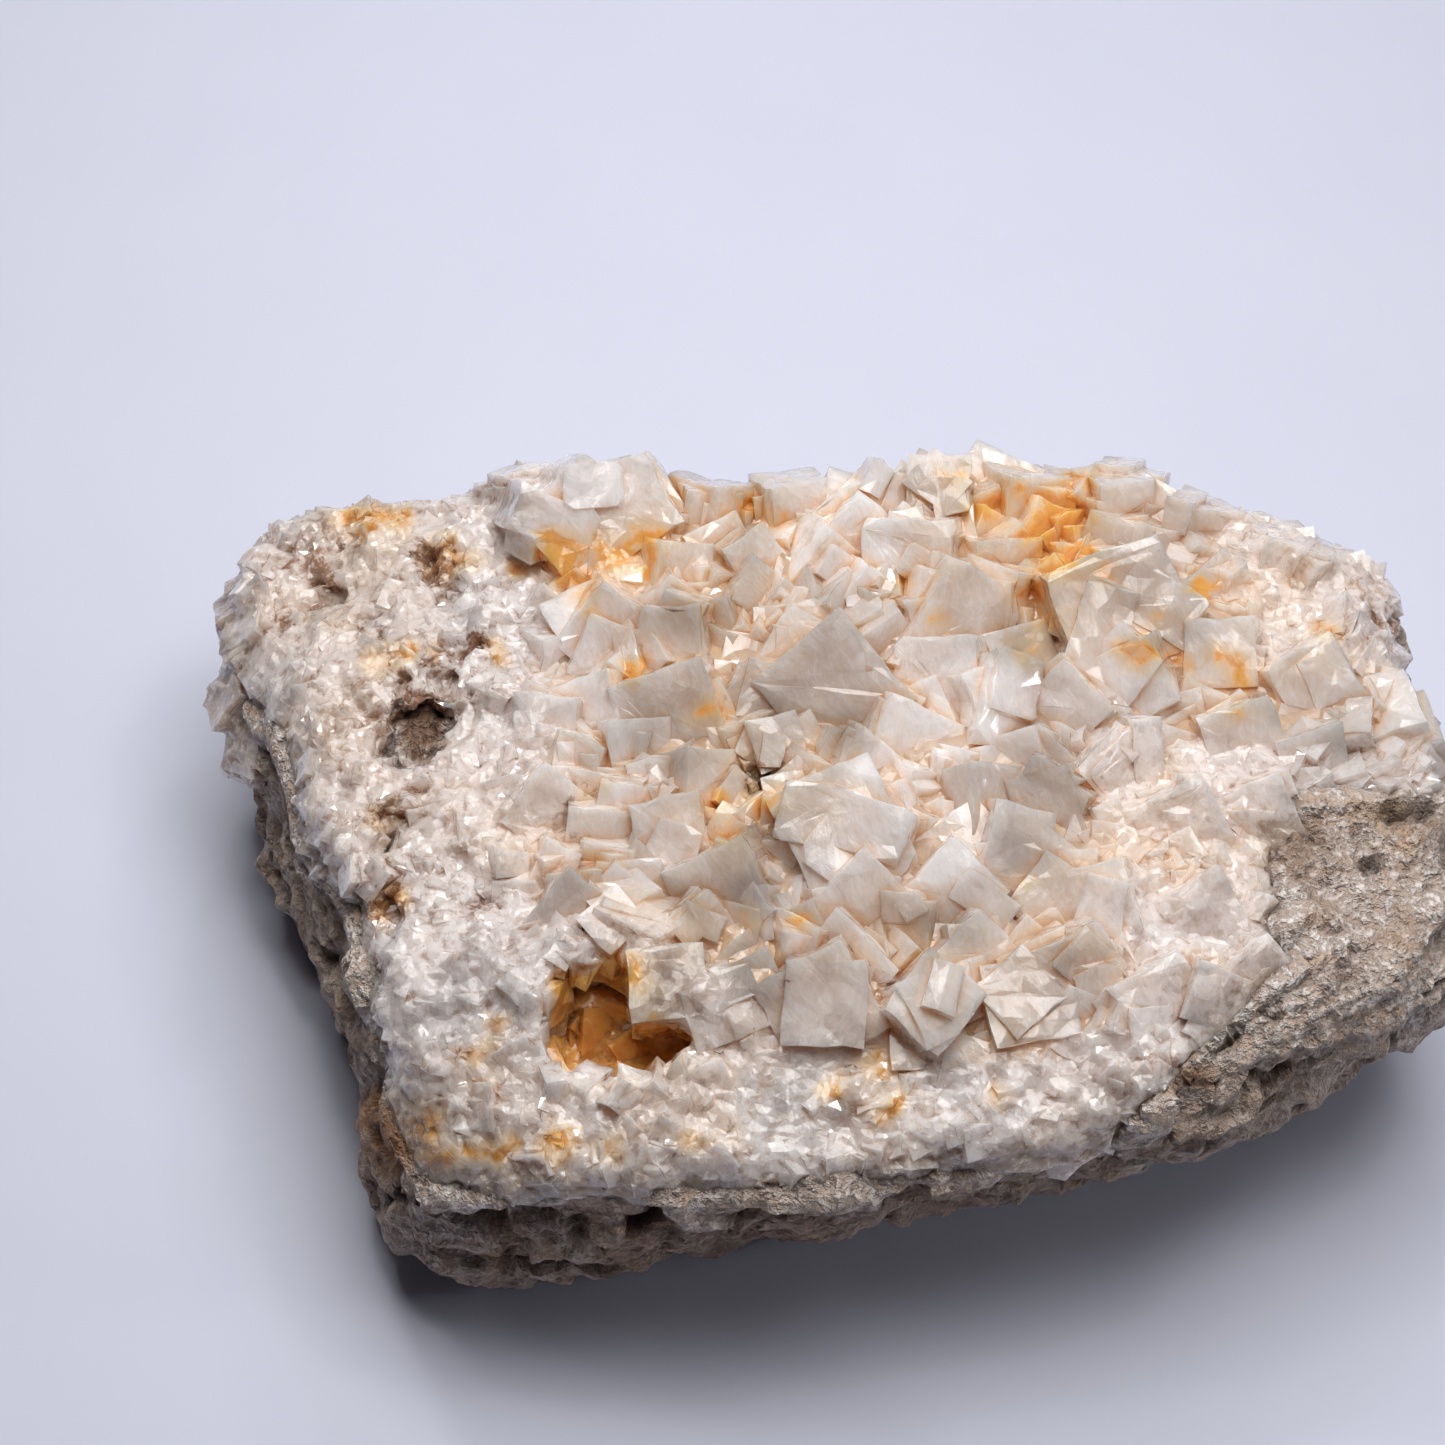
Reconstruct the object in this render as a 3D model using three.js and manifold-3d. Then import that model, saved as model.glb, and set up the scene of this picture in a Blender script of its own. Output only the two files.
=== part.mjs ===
// A hand-size fluorite specimen: a druse of intergrown fluorite cubes on a block of granular host rock.
// Units are millimetres, +Z is up, and the origin lies on the resting face, below the middle of the block.
// The shapes are laid out in a working frame first; MIDDLE is the point of that frame that becomes the origin.

import * as THREE from 'three';
import { ConvexGeometry } from 'three/addons/geometries/ConvexGeometry.js';
import { mergeVertices } from 'three/addons/utils/BufferGeometryUtils.js';
import Module from 'manifold-3d';

const wasm = await Module();
wasm.setup();

// ---------------------------------------------------------------- driving dimensions

const MIDDLE = new THREE.Vector3(0.2, 5.7, 0);

const PLATEAU_Z = 34;          // height of the crystal field in the middle
const CRUST_THICKNESS = 6.5;   // of the pale druse over the host rock
const SEAM_GAP = 0.3;          // between the crust and the rock, and round the pocket lining
const SEAM_STEP = 7;           // grid of the surface that parts crust and rock
const SEAM_LUMPS = 1.4;        // height of its swells
const STATIONS_AROUND = 59;    // facets around the block
const ROCK_ROUGHNESS = 1.8;    // height of the lumps on the broken rock faces
const LEDGE_DEPTH = 0.9;       // of the bedding ledges that run round the rock
const LEDGE_SPACING = 5.5;     // from one ledge to the next
const CRUST_ROUGHNESS = 0.8;   // height of the lumps on the sugary top
const CRYSTAL_SPACING = 7.8;   // of the smaller cubes that fill the field between the large ones
const FILL_CUBE = 7.0;         // mean edge of those smaller cubes
const FILL_SINK = 0.36;        // share of their edge that their centres lie below the field
const CALM_SINK = 0.54;        // the same in the massive parts of the druse
const TOP_CENTRE = { x: -1, y: 6 };   // the place that the rings of the top shrink to

// How the plateau falls away: from x = start the left and right ends sink with the square of the
// distance, the front sinks evenly, and the front left corner has a drop of its own.
const LEFT_END = { start: -8, fall: 0.00154 };
const RIGHT_END = { start: 14, fall: 0.0013 };
const FRONT_SLOPE = { start: -14, fall: 0.3 };
const FRONT_CORNER = { x: -40, y: -30, inner: 4, outer: 17, drop: 3.4 };

// The block's outline, counter-clockwise from the right-hand tip. Each row is one station:
// top edge x y, widest place x y z, edge of the resting face x y.
const OUTLINE = [
  [57, -6.4, 61.2, -5, 21, 50, -3],
  [56, 6, 57.8, 9, 18, 50, 10],
  [56.2, 13, 58, 16, 17, 50, 17],
  [53, 20, 55, 22, 18, 48, 22],
  [54.5, 27.5, 56, 29.5, 18, 47, 27],
  [50.5, 35, 52, 37, 18, 44, 32],
  [38, 40.5, 39, 43, 18, 34, 37],
  [26, 42.5, 27, 44.6, 18, 24, 38],
  [10, 42.6, 10, 44.8, 19, 9, 38],
  [-1, 41.8, -1, 44, 18, 0, 37],
  [-11, 40.2, -11, 42.6, 18, -11, 36],
  [-21, 42.3, -21, 44.6, 19, -20, 37],
  [-31, 42, -32, 44.6, 19, -30, 37],
  [-40, 42.8, -41.2, 44.8, 20, -39, 36],
  [-48.8, 43.6, -49.8, 45, 20, -46, 35.5],
  [-56.2, 40.6, -57, 41.6, 19, -51, 34],
  [-57.6, 33, -58.8, 34.4, 16, -53, 30],
  [-54.4, 25, -57.4, 27.4, 15, -53.4, 25],
  [-50.6, 17.5, -55.8, 20.6, 15, -54, 19],
  [-48.8, 9, -53.6, 12.4, 14, -52.6, 12],
  [-47, 2, -50.8, 5, 13, -50, 6],
  [-43, -3.2, -47.6, 0, 13, -46.8, 1],
  [-40.8, -10, -46, -6, 13, -45, -5],
  [-39.8, -18, -43.8, -14.6, 13, -42, -12],
  [-37.5, -24.5, -43, -21.5, 12, -40.5, -18.5],
  [-33.5, -28.5, -41, -27.5, 11, -37, -23],
  [-28, -30, -35.6, -32, 9, -31, -26],
  [-21, -31, -27.5, -33, 10, -24.5, -26],
  [-11.5, -31.6, -16, -31.8, 13, -14, -24],
  [-3, -31.2, -4.5, -30.9, 16, -5, -22],
  [6, -29.8, 5.8, -28.4, 18, 4, -19],
  [20, -28, 21, -25.8, 19, 18, -16.5],
  [32, -25.6, 35.5, -22.6, 20, 30, -13],
  [42.4, -19.4, 47.4, -16.6, 21, 39, -11],
  [51.6, -13.8, 56.6, -11.8, 21, 46, -8],
];

// Broad swells (+) and hollows (-) of the top: x, y, radius, height.
const SWELLS = [
  [-22, 37, 7, 1.8],
  [-1, 19, 8, 1.6],
  [10, 30, 8, 1.4],
  [27, 27, 7, 1.2],
  [1, 0, 8, 1.6],
  [8, -16, 5, 0.8],
  [-19, 24, 6, 0.6],
  [-7.5, 7, 3.6, -3.2],
  [20.5, 33, 4.2, -3.6],
  [19, 21, 3.2, -2.4],
  [-38, 12, 4, -1.8],
  [17, -6, 2.6, -1.8],
  [-25, 29, 3, -1.4],
  [44, 27, 6, -1.0],
];

// The large crystals: x, y, edge, lift of the centre over the field, azimuth that the upright
// cube axis leans towards, lean, spin about that axis, corner truncation. Angles in degrees.
const LARGE_CRYSTALS = [
  [-25, 37, 10, -2.6, -60, 38, 20, 0.22],
  [-18.5, 38, 9, -2.4, -110, 30, 50, 0.22],
  [-21, 25, 8.2, -2.2, -80, 50, 45, 0],
  [-14, 23.5, 6.8, -1.8, -120, 44, 30, 0],
  [-7.5, 32.5, 5.4, -1.4, -60, 40, 10, 0],
  [-14.5, 15.5, 9, -2.6, -100, 40, 25, 0],
  [-6, 16, 5.2, -1.4, -70, 30, 60, 0],
  [-5, 10.6, 5, -0.4, -80, 28, 8, 0],
  [-12.5, 7, 6, -1.6, -30, 42, 40, 0],
  [-14.5, 1.5, 6.4, -2, -100, 30, 20, 0],
  [-9.4, -3.6, 8, -2.4, -110, 46, 40, 0],
  [-12.5, -8.6, 5, -1.6, -60, 35, 10, 0],
  [-6.6, -7.6, 5, -2, -140, 40, 50, 0],
  [-7.6, -15.4, 6, -2.2, -80, 24, 12, 0],
  [0.4, 17.6, 11, -3.2, -92, 36, 42, 0],
  [3, 35, 7.4, -2, -70, 44, 30, 0.2],
  [8.4, 32.6, 7.8, -2, -110, 42, 15, 0.2],
  [11.4, 26, 9.4, -2.6, -60, 46, 38, 0.18],
  [11, 40.2, 5.6, -0.6, -95, 20, 4, 0],
  [5, 39.4, 5.4, -1.2, -70, 40, 30, 0],
  [27, 26.6, 11.6, -3.4, -78, 30, 10, 0.08],
  [16.4, 28.4, 6.4, -2, -140, 45, 20, 0],
  [36.8, 22, 6.8, -1.4, -92, 34, 4, 0],
  [45, 19.6, 7.6, -2.2, -70, 34, 14, 0],
  [15.6, 15.4, 9, -2.8, -40, 40, 35, 0.15],
  [11, 19, 7.4, -2.2, -120, 38, 25, 0.15],
  [1.2, 0.8, 11, -3, -95, 30, 30, 0.24],
  [2.6, -6, 8, -2.6, -85, 42, 40, 0],
  [11, -4.4, 7.2, -2, -90, 36, 45, 0],
  [7, -8.4, 4.6, -1.4, -120, 40, 20, 0],
  [16.6, -1.6, 7.6, -2, -70, 34, 38, 0.2],
  [12, -11.6, 5.8, -1.8, -60, 36, 20, 0],
  [8, -17, 7.2, -1, -66, 30, 30, 0],
  [-1, -15.4, 8.4, -2.6, -100, 40, 38, 0],
  [2.4, 9, 5.4, -1.6, -60, 44, 30, 0],
  [21.6, -12.4, 7.2, -2.4, -80, 40, 20, 0.15],
  [25, -5.6, 6.6, -2.2, -120, 38, 40, 0.1],
  [28.4, -15.4, 7.4, -3, -70, 36, 12, 0.15],
  [32, 3.4, 7.4, -2.4, -90, 40, 30, 0.15],
  [26.6, 8.6, 7.2, -2.4, -60, 42, 20, 0.1],
  [33.4, -6.6, 6.8, -2.4, -100, 34, 40, 0.15],
  [38, 12.6, 7, -2.2, -80, 40, 10, 0.15],
  [-5.6, -22.6, 6.6, -3.6, -90, 40, 20, 0.24],
  [8.4, -23.4, 6.4, -4, -80, 38, 30, 0.24],
  [17.4, -23.2, 6.2, -3.8, -100, 40, 10, 0.24],
  [-13.6, -25.4, 6, -3.8, -90, 42, 30, 0.24],
  [-28.6, 40, 6, -2, 100, 40, 20, 0],
  [-11.6, 38.6, 5.6, -1.8, 80, 40, 20, 0],
  [-3.4, 39.6, 6, -1.8, 100, 36, 10, 0],
  [19, 40.6, 6, -2, 80, 40, 30, 0],
  [28, 39.6, 6.4, -2, 90, 38, 20, 0],
  [36, 37.6, 6, -2, 70, 40, 40, 0],
  [44.6, 33, 6.6, -2.2, 60, 38, 20, 0.1],
  [39.6, 4, 6.6, -2.4, -100, 38, 30, 0],
  [37, -13.2, 6.8, -2.8, -70, 40, 20, 0.15],
  [20.6, 5, 6.4, -2.2, -120, 40, 40, 0],
  [-26.8, 4.6, 6.4, -2.4, -60, 42, 30, 0],
  [-26, 13.6, 6.6, -2.4, -110, 40, 10, 0],
  [-24, -6, 6.2, -2.4, -80, 44, 40, 0],
];

// The lower cluster on the left-hand side: x, y, z, edge, lean azimuth, lean, spin.
const SIDE_CRYSTALS = [
  [-55, 29.8, 23.6, 6.4, 170, 44, 30],
  [-55.4, 25.4, 20.4, 6.6, 190, 50, 10],
  [-56.2, 33.6, 22, 5.6, 150, 40, 50],
  [-56.6, 30, 18.4, 5.6, 180, 70, 20],
  [-54.6, 20.6, 18.6, 5.8, 200, 56, 40],
  [-52.6, 24.2, 25, 5.4, 200, 36, 20],
];

// The pocket near the front left: an opening in the crust over a hollow lined with crystals.
const POCKET = {
  middle: [-19.2, -17.4],
  mouth: [
    [-26.2, -16.6], [-24.6, -21.2], [-20.6, -22.8], [-16.4, -22.2], [-13, -20],
    [-12, -16.4], [-16, -13], [-21, -12.4], [-24.8, -13.6],
  ],
  depth: 11,
  bulge: 1.22,        // how much wider the hollow is than its mouth
  liningThickness: 2.6,
};
const OVERHANG_CRYSTALS = [
  [-14.8, -14.6, 31.6, 7, -90, 22, 6],
  [-10.2, -16.8, 31.4, 6, -80, 30, 12],
];
const POCKET_CRYSTALS = [
  [-22.6, -17.4, 21.6, 4.8, 20, 40, 30],
  [-17.4, -15.6, 22.4, 5.4, -60, 44, 10],
  [-14.8, -19.6, 21.8, 4.6, 180, 36, 40],
  [-19.4, -21.2, 19.8, 5, 100, 30, 20],
  [-21.8, -14.8, 24.2, 4.4, -40, 50, 50],
];

// Solution cavities in the sugary left part and along the joints: x, y, radii x y z, turn.
const CAVITIES = [
  [-38.4, 12.6, 3.4, 4.6, 4, -20],
  [-41, 1, 1.1, 2.6, 3, -30],
  [-40, -7.4, 1.2, 2.6, 2.6, 15],
  [-37, 29.4, 2.6, 1.6, 2.6, 30],
  [-49, 31, 2.8, 1.5, 2.4, 10],
  [-36, 18.4, 1, 2.2, 2.4, 25],
  [-7.2, 6.6, 3, 1.8, 4, 0],
  [31.4, -25, 1.8, 1.4, 2.4, 20],
  [47.6, 9.6, 2, 2.6, 3, 0],
];

// The bare ground at the right and along the right of the front, where the rock comes through the
// crust: corners x y, counter-clockwise. The crust thins out over BARE_MARGIN inside that line.
const BARE_GROUND = [
  [30, -40], [64, -30], [66, 7], [56, 6.6], [47, 5], [37, 2], [40, -4.4], [42.5, -8],
  [44.6, -10.6], [42, -12.6], [35.5, -17], [28.5, -23],
];
const BARE_MARGIN = 2.4;
const BARE_RISE = 2.2;         // the seam rises by this share of the crust's thickness there
const FRONT_THINNING = 3.4;    // the crust is thinner by this along the front edge
const LEFT_THINNING = 2.2;     // and by this along the left edge

// The room round the pocket's mouth that the smaller cubes leave free.
const POCKET_CLEARANCE = { x: -19.4, y: -18.8, rx: 9.5, ry: 8.5 };

// ---------------------------------------------------------------- number helpers

const degrees = Math.PI / 180;
const clamp01 = (t) => Math.min(1, Math.max(0, t));
const mix = (a, b, t) => a + (b - a) * t;

// Zero below a, one above b, and a smooth S-curve between.
function rise(a, b, value) {
  const t = clamp01((value - a) / (b - a));
  return t * t * (3 - 2 * t);
}

// A repeatable number from 0 to 1 for each whole-number place.
function chance(i, j, k) {
  const wave = Math.sin(i * 127.1 + j * 311.7 + k * 74.7) * 43758.5453;
  return wave - Math.floor(wave);
}

// Smooth noise from -1 to 1: chances on a unit lattice, blended between its corners.
function noise(x, y, z) {
  const [i, j, k] = [Math.floor(x), Math.floor(y), Math.floor(z)];
  const [u, v, w] = [rise(0, 1, x - i), rise(0, 1, y - j), rise(0, 1, z - k)];
  const edge = (b, c) => mix(chance(i, j + b, k + c), chance(i + 1, j + b, k + c), u);
  const face = (c) => mix(edge(0, c), edge(1, c), v);
  return 2 * mix(face(0), face(1), w) - 1;
}

// Two octaves of noise for a point in millimetres; size is the width of a lump.
function lumps(x, y, z, size) {
  return noise(x / size, y / size, z / size) * 0.65
    + noise(x * 2.1 / size + 9, y * 2.1 / size, z * 2.1 / size) * 0.35;
}

// ---------------------------------------------------------------- height of the crystal field

// The line along which the left-hand shoulder breaks away from the plateau.
const SHOULDER_LINE = { x: -51, y: 18, dx: 16 / 28, dy: 23 / 28, drop: 3, width: 5 };

function fieldHeight(x, y) {
  let z = PLATEAU_Z;
  z -= LEFT_END.fall * Math.max(0, LEFT_END.start - x) ** 2;
  z -= RIGHT_END.fall * Math.max(0, x - RIGHT_END.start) ** 2;
  z -= FRONT_SLOPE.fall * Math.max(0, FRONT_SLOPE.start - y);
  const across = (x - SHOULDER_LINE.x) * SHOULDER_LINE.dy - (y - SHOULDER_LINE.y) * SHOULDER_LINE.dx;
  z -= SHOULDER_LINE.drop * rise(0, SHOULDER_LINE.width, -across);
  const toCorner = Math.hypot(x - FRONT_CORNER.x, y - FRONT_CORNER.y);
  z -= FRONT_CORNER.drop * (1 - rise(FRONT_CORNER.inner, FRONT_CORNER.outer, toCorner));
  for (const [sx, sy, radius, height] of SWELLS) {
    const away = ((x - sx) ** 2 + (y - sy) ** 2) / radius ** 2;
    z += height * Math.exp(-away);
  }
  return z;
}

// How bare the ground is: 0 outside the bare ground's line, 1 further inside it than the margin.
function onBareGround(x, y) {
  let inside = false;
  let nearest = Infinity;
  BARE_GROUND.forEach(([ax, ay], i) => {
    const [bx, by] = BARE_GROUND[(i + 1) % BARE_GROUND.length];
    const along = clamp01(((x - ax) * (bx - ax) + (y - ay) * (by - ay)) / ((bx - ax) ** 2 + (by - ay) ** 2));
    nearest = Math.min(nearest, Math.hypot(x - mix(ax, bx, along), y - mix(ay, by, along)));
    if ((ay > y) !== (by > y) && x < mix(ax, bx, (y - ay) / (by - ay))) inside = !inside;
  });
  return inside ? rise(0, BARE_MARGIN, nearest) : 0;
}

// How calm the druse is: 1 in the massive left, right and front parts, 0 among the large cubes.
function calmShare(x, y) {
  const left = rise(-18, -24, x);
  const front = rise(-17, -22, y);
  const right = rise(20, 26, x) * rise(14, 9, y);
  return Math.max(left, front, right);
}

// The surface that parts the crust from the rock below it.
function seamHeight(x, y) {
  const thickness = CRUST_THICKNESS * (1 - BARE_RISE * onBareGround(x, y));
  const thinning = LEFT_THINNING * rise(-34, -44, x) + FRONT_THINNING * rise(-22, -29, y);
  return fieldHeight(x, y) - thickness + thinning + SEAM_LUMPS * lumps(x, y, 3, 11);
}

// ---------------------------------------------------------------- solids

function solidFrom(geometry) {
  const bare = geometry.clone();
  bare.deleteAttribute('normal');
  bare.deleteAttribute('uv');
  const merged = mergeVertices(bare, 1e-4);
  const mesh = new wasm.Mesh({
    numProp: 3,
    vertProperties: new Float32Array(merged.attributes.position.array),
    triVerts: new Uint32Array(merged.index.array),
  });
  return new wasm.Manifold(mesh);
}

function geometryFrom(solid) {
  const mesh = solid.getMesh();
  const geometry = new THREE.BufferGeometry();
  geometry.setAttribute('position', new THREE.BufferAttribute(mesh.vertProperties, 3));
  geometry.setIndex(new THREE.BufferAttribute(mesh.triVerts, 1));
  return geometry;
}

// A closed skin through rings of equal length, from a point or ring at one end to the other.
function skin(rings, firstPoint, lastPoint) {
  const points = [];
  const faces = [];
  const n = rings[0].length;
  points.push(firstPoint);
  rings.forEach((ring) => points.push(...ring));
  points.push(lastPoint);
  const at = (r, i) => 1 + r * n + (i % n);
  const last = points.length - 1;
  for (let i = 0; i < n; i += 1) {
    faces.push(0, at(0, i), at(0, i + 1));
    for (let r = 0; r + 1 < rings.length; r += 1) {
      faces.push(at(r, i), at(r + 1, i), at(r + 1, i + 1));
      faces.push(at(r, i), at(r + 1, i + 1), at(r, i + 1));
    }
    faces.push(at(rings.length - 1, i), last, at(rings.length - 1, i + 1));
  }
  const geometry = new THREE.BufferGeometry();
  geometry.setAttribute('position', new THREE.Float32BufferAttribute(points.flatMap((p) => p.toArray()), 3));
  geometry.setIndex(faces);
  return geometry;
}

// A smooth closed curve through the stations of the outline, sampled evenly along its length.
function outlineRing(place) {
  const curve = new THREE.CatmullRomCurve3(OUTLINE.map(place), true, 'centripetal');
  return Array.from({ length: STATIONS_AROUND }, (_, i) => curve.getPoint(i / STATIONS_AROUND));
}

// How far a broken rock face stands out at a place: lumps, and ledges along the bedding.
function brokenFace({ x, y, z }) {
  const bedding = (z + 0.1 * x + 2.4 * noise(x / 14, y / 14, 5)) / LEDGE_SPACING;
  const ledge = LEDGE_DEPTH * Math.sin(2 * Math.PI * bedding) * (0.5 + 0.5 * noise(x / 11, y / 11, 8));
  return ROCK_ROUGHNESS * lumps(x, y, z, 6) + ledge;
}

// The whole block: top rings shrink to the middle, side rings run from the top edge over the
// widest place to the resting face.
function blockSolid() {
  const top = outlineRing(([x, y]) => new THREE.Vector3(x, y, 0));
  const belly = outlineRing(([, , x, y, z]) => new THREE.Vector3(x, y, z));
  const foot = outlineRing(([, , , , , x, y]) => new THREE.Vector3(x, y, 0));
  const centre = new THREE.Vector3(TOP_CENTRE.x, TOP_CENTRE.y, 0);
  const rings = [];
  for (const share of [0.25, 0.46, 0.64, 0.8, 0.92, 0.98]) {
    rings.push(top.map((edge) => {
      const p = centre.clone().lerp(edge, share);
      p.z = fieldHeight(p.x, p.y) + CRUST_ROUGHNESS * lumps(p.x, p.y, 0, 5);
      return p;
    }));
  }
  const between = (share, bow) => top.map((edge, i) => {
    const edgeZ = fieldHeight(edge.x, edge.y) - 1.4;
    const upper = new THREE.Vector3(edge.x, edge.y, edgeZ);
    const p = upper.clone().lerp(belly[i], share);
    const outward = new THREE.Vector3(belly[i].x - centre.x, belly[i].y - centre.y, 0).normalize();
    p.addScaledVector(outward, bow + brokenFace(p));
    return p;
  });
  rings.push(between(0.02, 0.5), between(0.2, 0.9), between(0.42, 1), between(0.7, 0.6), between(1, 0));
  const below = (share, bow) => belly.map((wide, i) => {
    const p = wide.clone().lerp(foot[i], share);
    const outward = new THREE.Vector3(foot[i].x - centre.x, foot[i].y - centre.y, 0).normalize();
    p.addScaledVector(outward, bow + brokenFace(p));
    return p;
  });
  rings.push(below(0.28, 0.8), below(0.56, 0.9), below(0.84, 0.5));
  rings.push(foot);
  const crown = new THREE.Vector3(centre.x, centre.y, fieldHeight(centre.x, centre.y));
  return solidFrom(skin(rings, crown, centre));
}

// A closed slab on a square grid, between a wavy sheet and a flat one far above or below it.
function slabBeyond(sheet, farZ, step) {
  const [x0, x1, y0, y1] = [-72, 72, -48, 58];
  const [nx, ny] = [Math.round((x1 - x0) / step), Math.round((y1 - y0) / step)];
  const points = [];
  const faces = [];
  for (const far of [false, true]) {
    for (let j = 0; j <= ny; j += 1) {
      for (let i = 0; i <= nx; i += 1) {
        const x = mix(x0, x1, i / nx);
        const y = mix(y0, y1, j / ny);
        points.push(x, y, far ? farZ : sheet(x, y));
      }
    }
  }
  const layer = (nx + 1) * (ny + 1);
  const at = (i, j, far) => far * layer + j * (nx + 1) + i;
  const quad = (a, b, c, d) => faces.push(a, b, c, a, c, d);
  for (let j = 0; j < ny; j += 1) {
    for (let i = 0; i < nx; i += 1) {
      quad(at(i, j, 0), at(i, j + 1, 0), at(i + 1, j + 1, 0), at(i + 1, j, 0));
      quad(at(i, j, 1), at(i + 1, j, 1), at(i + 1, j + 1, 1), at(i, j + 1, 1));
    }
  }
  for (let i = 0; i < nx; i += 1) {
    quad(at(i, 0, 0), at(i + 1, 0, 0), at(i + 1, 0, 1), at(i, 0, 1));
    quad(at(i + 1, ny, 0), at(i, ny, 0), at(i, ny, 1), at(i + 1, ny, 1));
  }
  for (let j = 0; j < ny; j += 1) {
    quad(at(0, j + 1, 0), at(0, j, 0), at(0, j, 1), at(0, j + 1, 1));
    quad(at(nx, j, 0), at(nx, j + 1, 0), at(nx, j + 1, 1), at(nx, j, 1));
  }
  if (farZ < 0) {
    for (let f = 0; f < faces.length; f += 3) {
      [faces[f + 1], faces[f + 2]] = [faces[f + 2], faces[f + 1]];
    }
  }
  const geometry = new THREE.BufferGeometry();
  geometry.setAttribute('position', new THREE.Float32BufferAttribute(points, 3));
  geometry.setIndex(faces);
  return solidFrom(geometry);
}

// ---------------------------------------------------------------- crystals

// Turns that lean a crystal's upright axis by lean towards azimuth, after a spin about it.
function crystalTurn(azimuth, lean, spin) {
  const turn = new THREE.Matrix4().makeRotationZ(azimuth * degrees);
  turn.multiply(new THREE.Matrix4().makeRotationY(lean * degrees));
  return turn.multiply(new THREE.Matrix4().makeRotationZ(spin * degrees));
}

// A fluorite cube with slightly unequal sides; corner is the share of each edge cut off.
function crystalSolid(centre, edge, turn, corner, seed) {
  const half = [0, 1, 2].map((k) => 0.5 * edge * mix(0.9, 1.1, chance(seed, k, 5)));
  const points = [];
  for (const sx of [-1, 1]) {
    for (const sy of [-1, 1]) {
      for (const sz of [-1, 1]) {
        const tip = [sx * half[0], sy * half[1], sz * half[2]];
        if (corner === 0) {
          points.push(new THREE.Vector3(...tip));
          continue;
        }
        for (const k of [0, 1, 2]) {
          const p = [...tip];
          p[k] *= 1 - 2 * corner * mix(0.7, 1.3, chance(seed, sx + 2 * sy, sz + k));
          points.push(new THREE.Vector3(...p));
        }
      }
    }
  }
  const geometry = new ConvexGeometry(points);
  geometry.applyMatrix4(turn);
  geometry.translate(...centre);
  return solidFrom(geometry);
}

function largeCrystals() {
  return LARGE_CRYSTALS.map(([x, y, edge, lift, azimuth, lean, spin, corner], n) => {
    const centre = [x, y, fieldHeight(x, y) + lift];
    return crystalSolid(centre, edge, crystalTurn(azimuth, lean, spin), corner, n);
  });
}

// The side cluster; grow widens each cube all round, for the seat that it leaves in the rock.
function sideCluster(grow) {
  return wasm.Manifold.union(SIDE_CRYSTALS.map(([x, y, z, edge, azimuth, lean, spin], n) => (
    crystalSolid([x, y, z], edge + 2 * grow, crystalTurn(azimuth, lean, spin), 0, 300 + n)
  )));
}

// How far a place lies inside the top edge, as a share: 0 in the middle, 1 on the edge.
function shareOfTop(x, y, ring) {
  const angleOf = (px, py) => Math.atan2(py - TOP_CENTRE.y, px - TOP_CENTRE.x);
  const reachOf = (px, py) => Math.hypot(px - TOP_CENTRE.x, py - TOP_CENTRE.y);
  const angle = angleOf(x, y);
  let best = 0;
  for (let i = 0; i < ring.length; i += 1) {
    const a = ring[i];
    const b = ring[(i + 1) % ring.length];
    const angleA = angleOf(a.x, a.y);
    const angleB = angleOf(b.x, b.y);
    let span = angleB - angleA;
    let along = angle - angleA;
    if (span < 0) span += 2 * Math.PI;
    if (along < 0) along += 2 * Math.PI;
    if (along <= span) {
      const t = along / span;
      best = reachOf(mix(a.x, b.x, t), mix(a.y, b.y, t));
    }
  }
  return reachOf(x, y) / best;
}

// The smaller cubes between the large ones, on a jittered hexagonal grid. The sugary left part,
// the bare patch and the pocket keep clear of them.
function fillCrystals() {
  const ring = outlineRing(([x, y]) => new THREE.Vector3(x, y, 0));
  const cubes = [];
  const rowStep = CRYSTAL_SPACING * Math.sqrt(3) / 2;
  for (let j = -8; j <= 10; j += 1) {
    for (let i = -13; i <= 13; i += 1) {
      const x = (i + 0.5 * (j & 1) + 0.7 * (chance(i, j, 1) - 0.5)) * CRYSTAL_SPACING;
      const y = 4 + j * rowStep + 0.7 * (chance(i, j, 2) - 0.5) * CRYSTAL_SPACING;
      const inside = shareOfTop(x, y, ring);
      const nearLarge = LARGE_CRYSTALS.some(([hx, hy, edge]) => Math.hypot(x - hx, y - hy) < 0.64 * edge);
      const { x: px, y: py, rx, ry } = POCKET_CLEARANCE;
      const nearPocket = Math.hypot((x - px) / rx, (y - py) / ry) < 1;
      const sugary = x < -31 + 4 * noise(y / 9, 3, 1);
      if (inside > 0.93 || nearLarge || nearPocket || sugary || onBareGround(x, y) > 0.1) continue;
      const edge = FILL_CUBE * mix(0.72, 1.2, chance(i, j, 3));
      const centre = [x, y, fieldHeight(x, y) - mix(FILL_SINK, CALM_SINK, calmShare(x, y)) * edge];
      const turn = crystalTurn(360 * chance(i, j, 4), mix(15, 60, chance(i, j, 6)), 90 * chance(i, j, 7));
      cubes.push(crystalSolid(centre, edge, turn, 0, 40 * i + j));
    }
  }
  return cubes;
}

// ---------------------------------------------------------------- hollows

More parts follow.
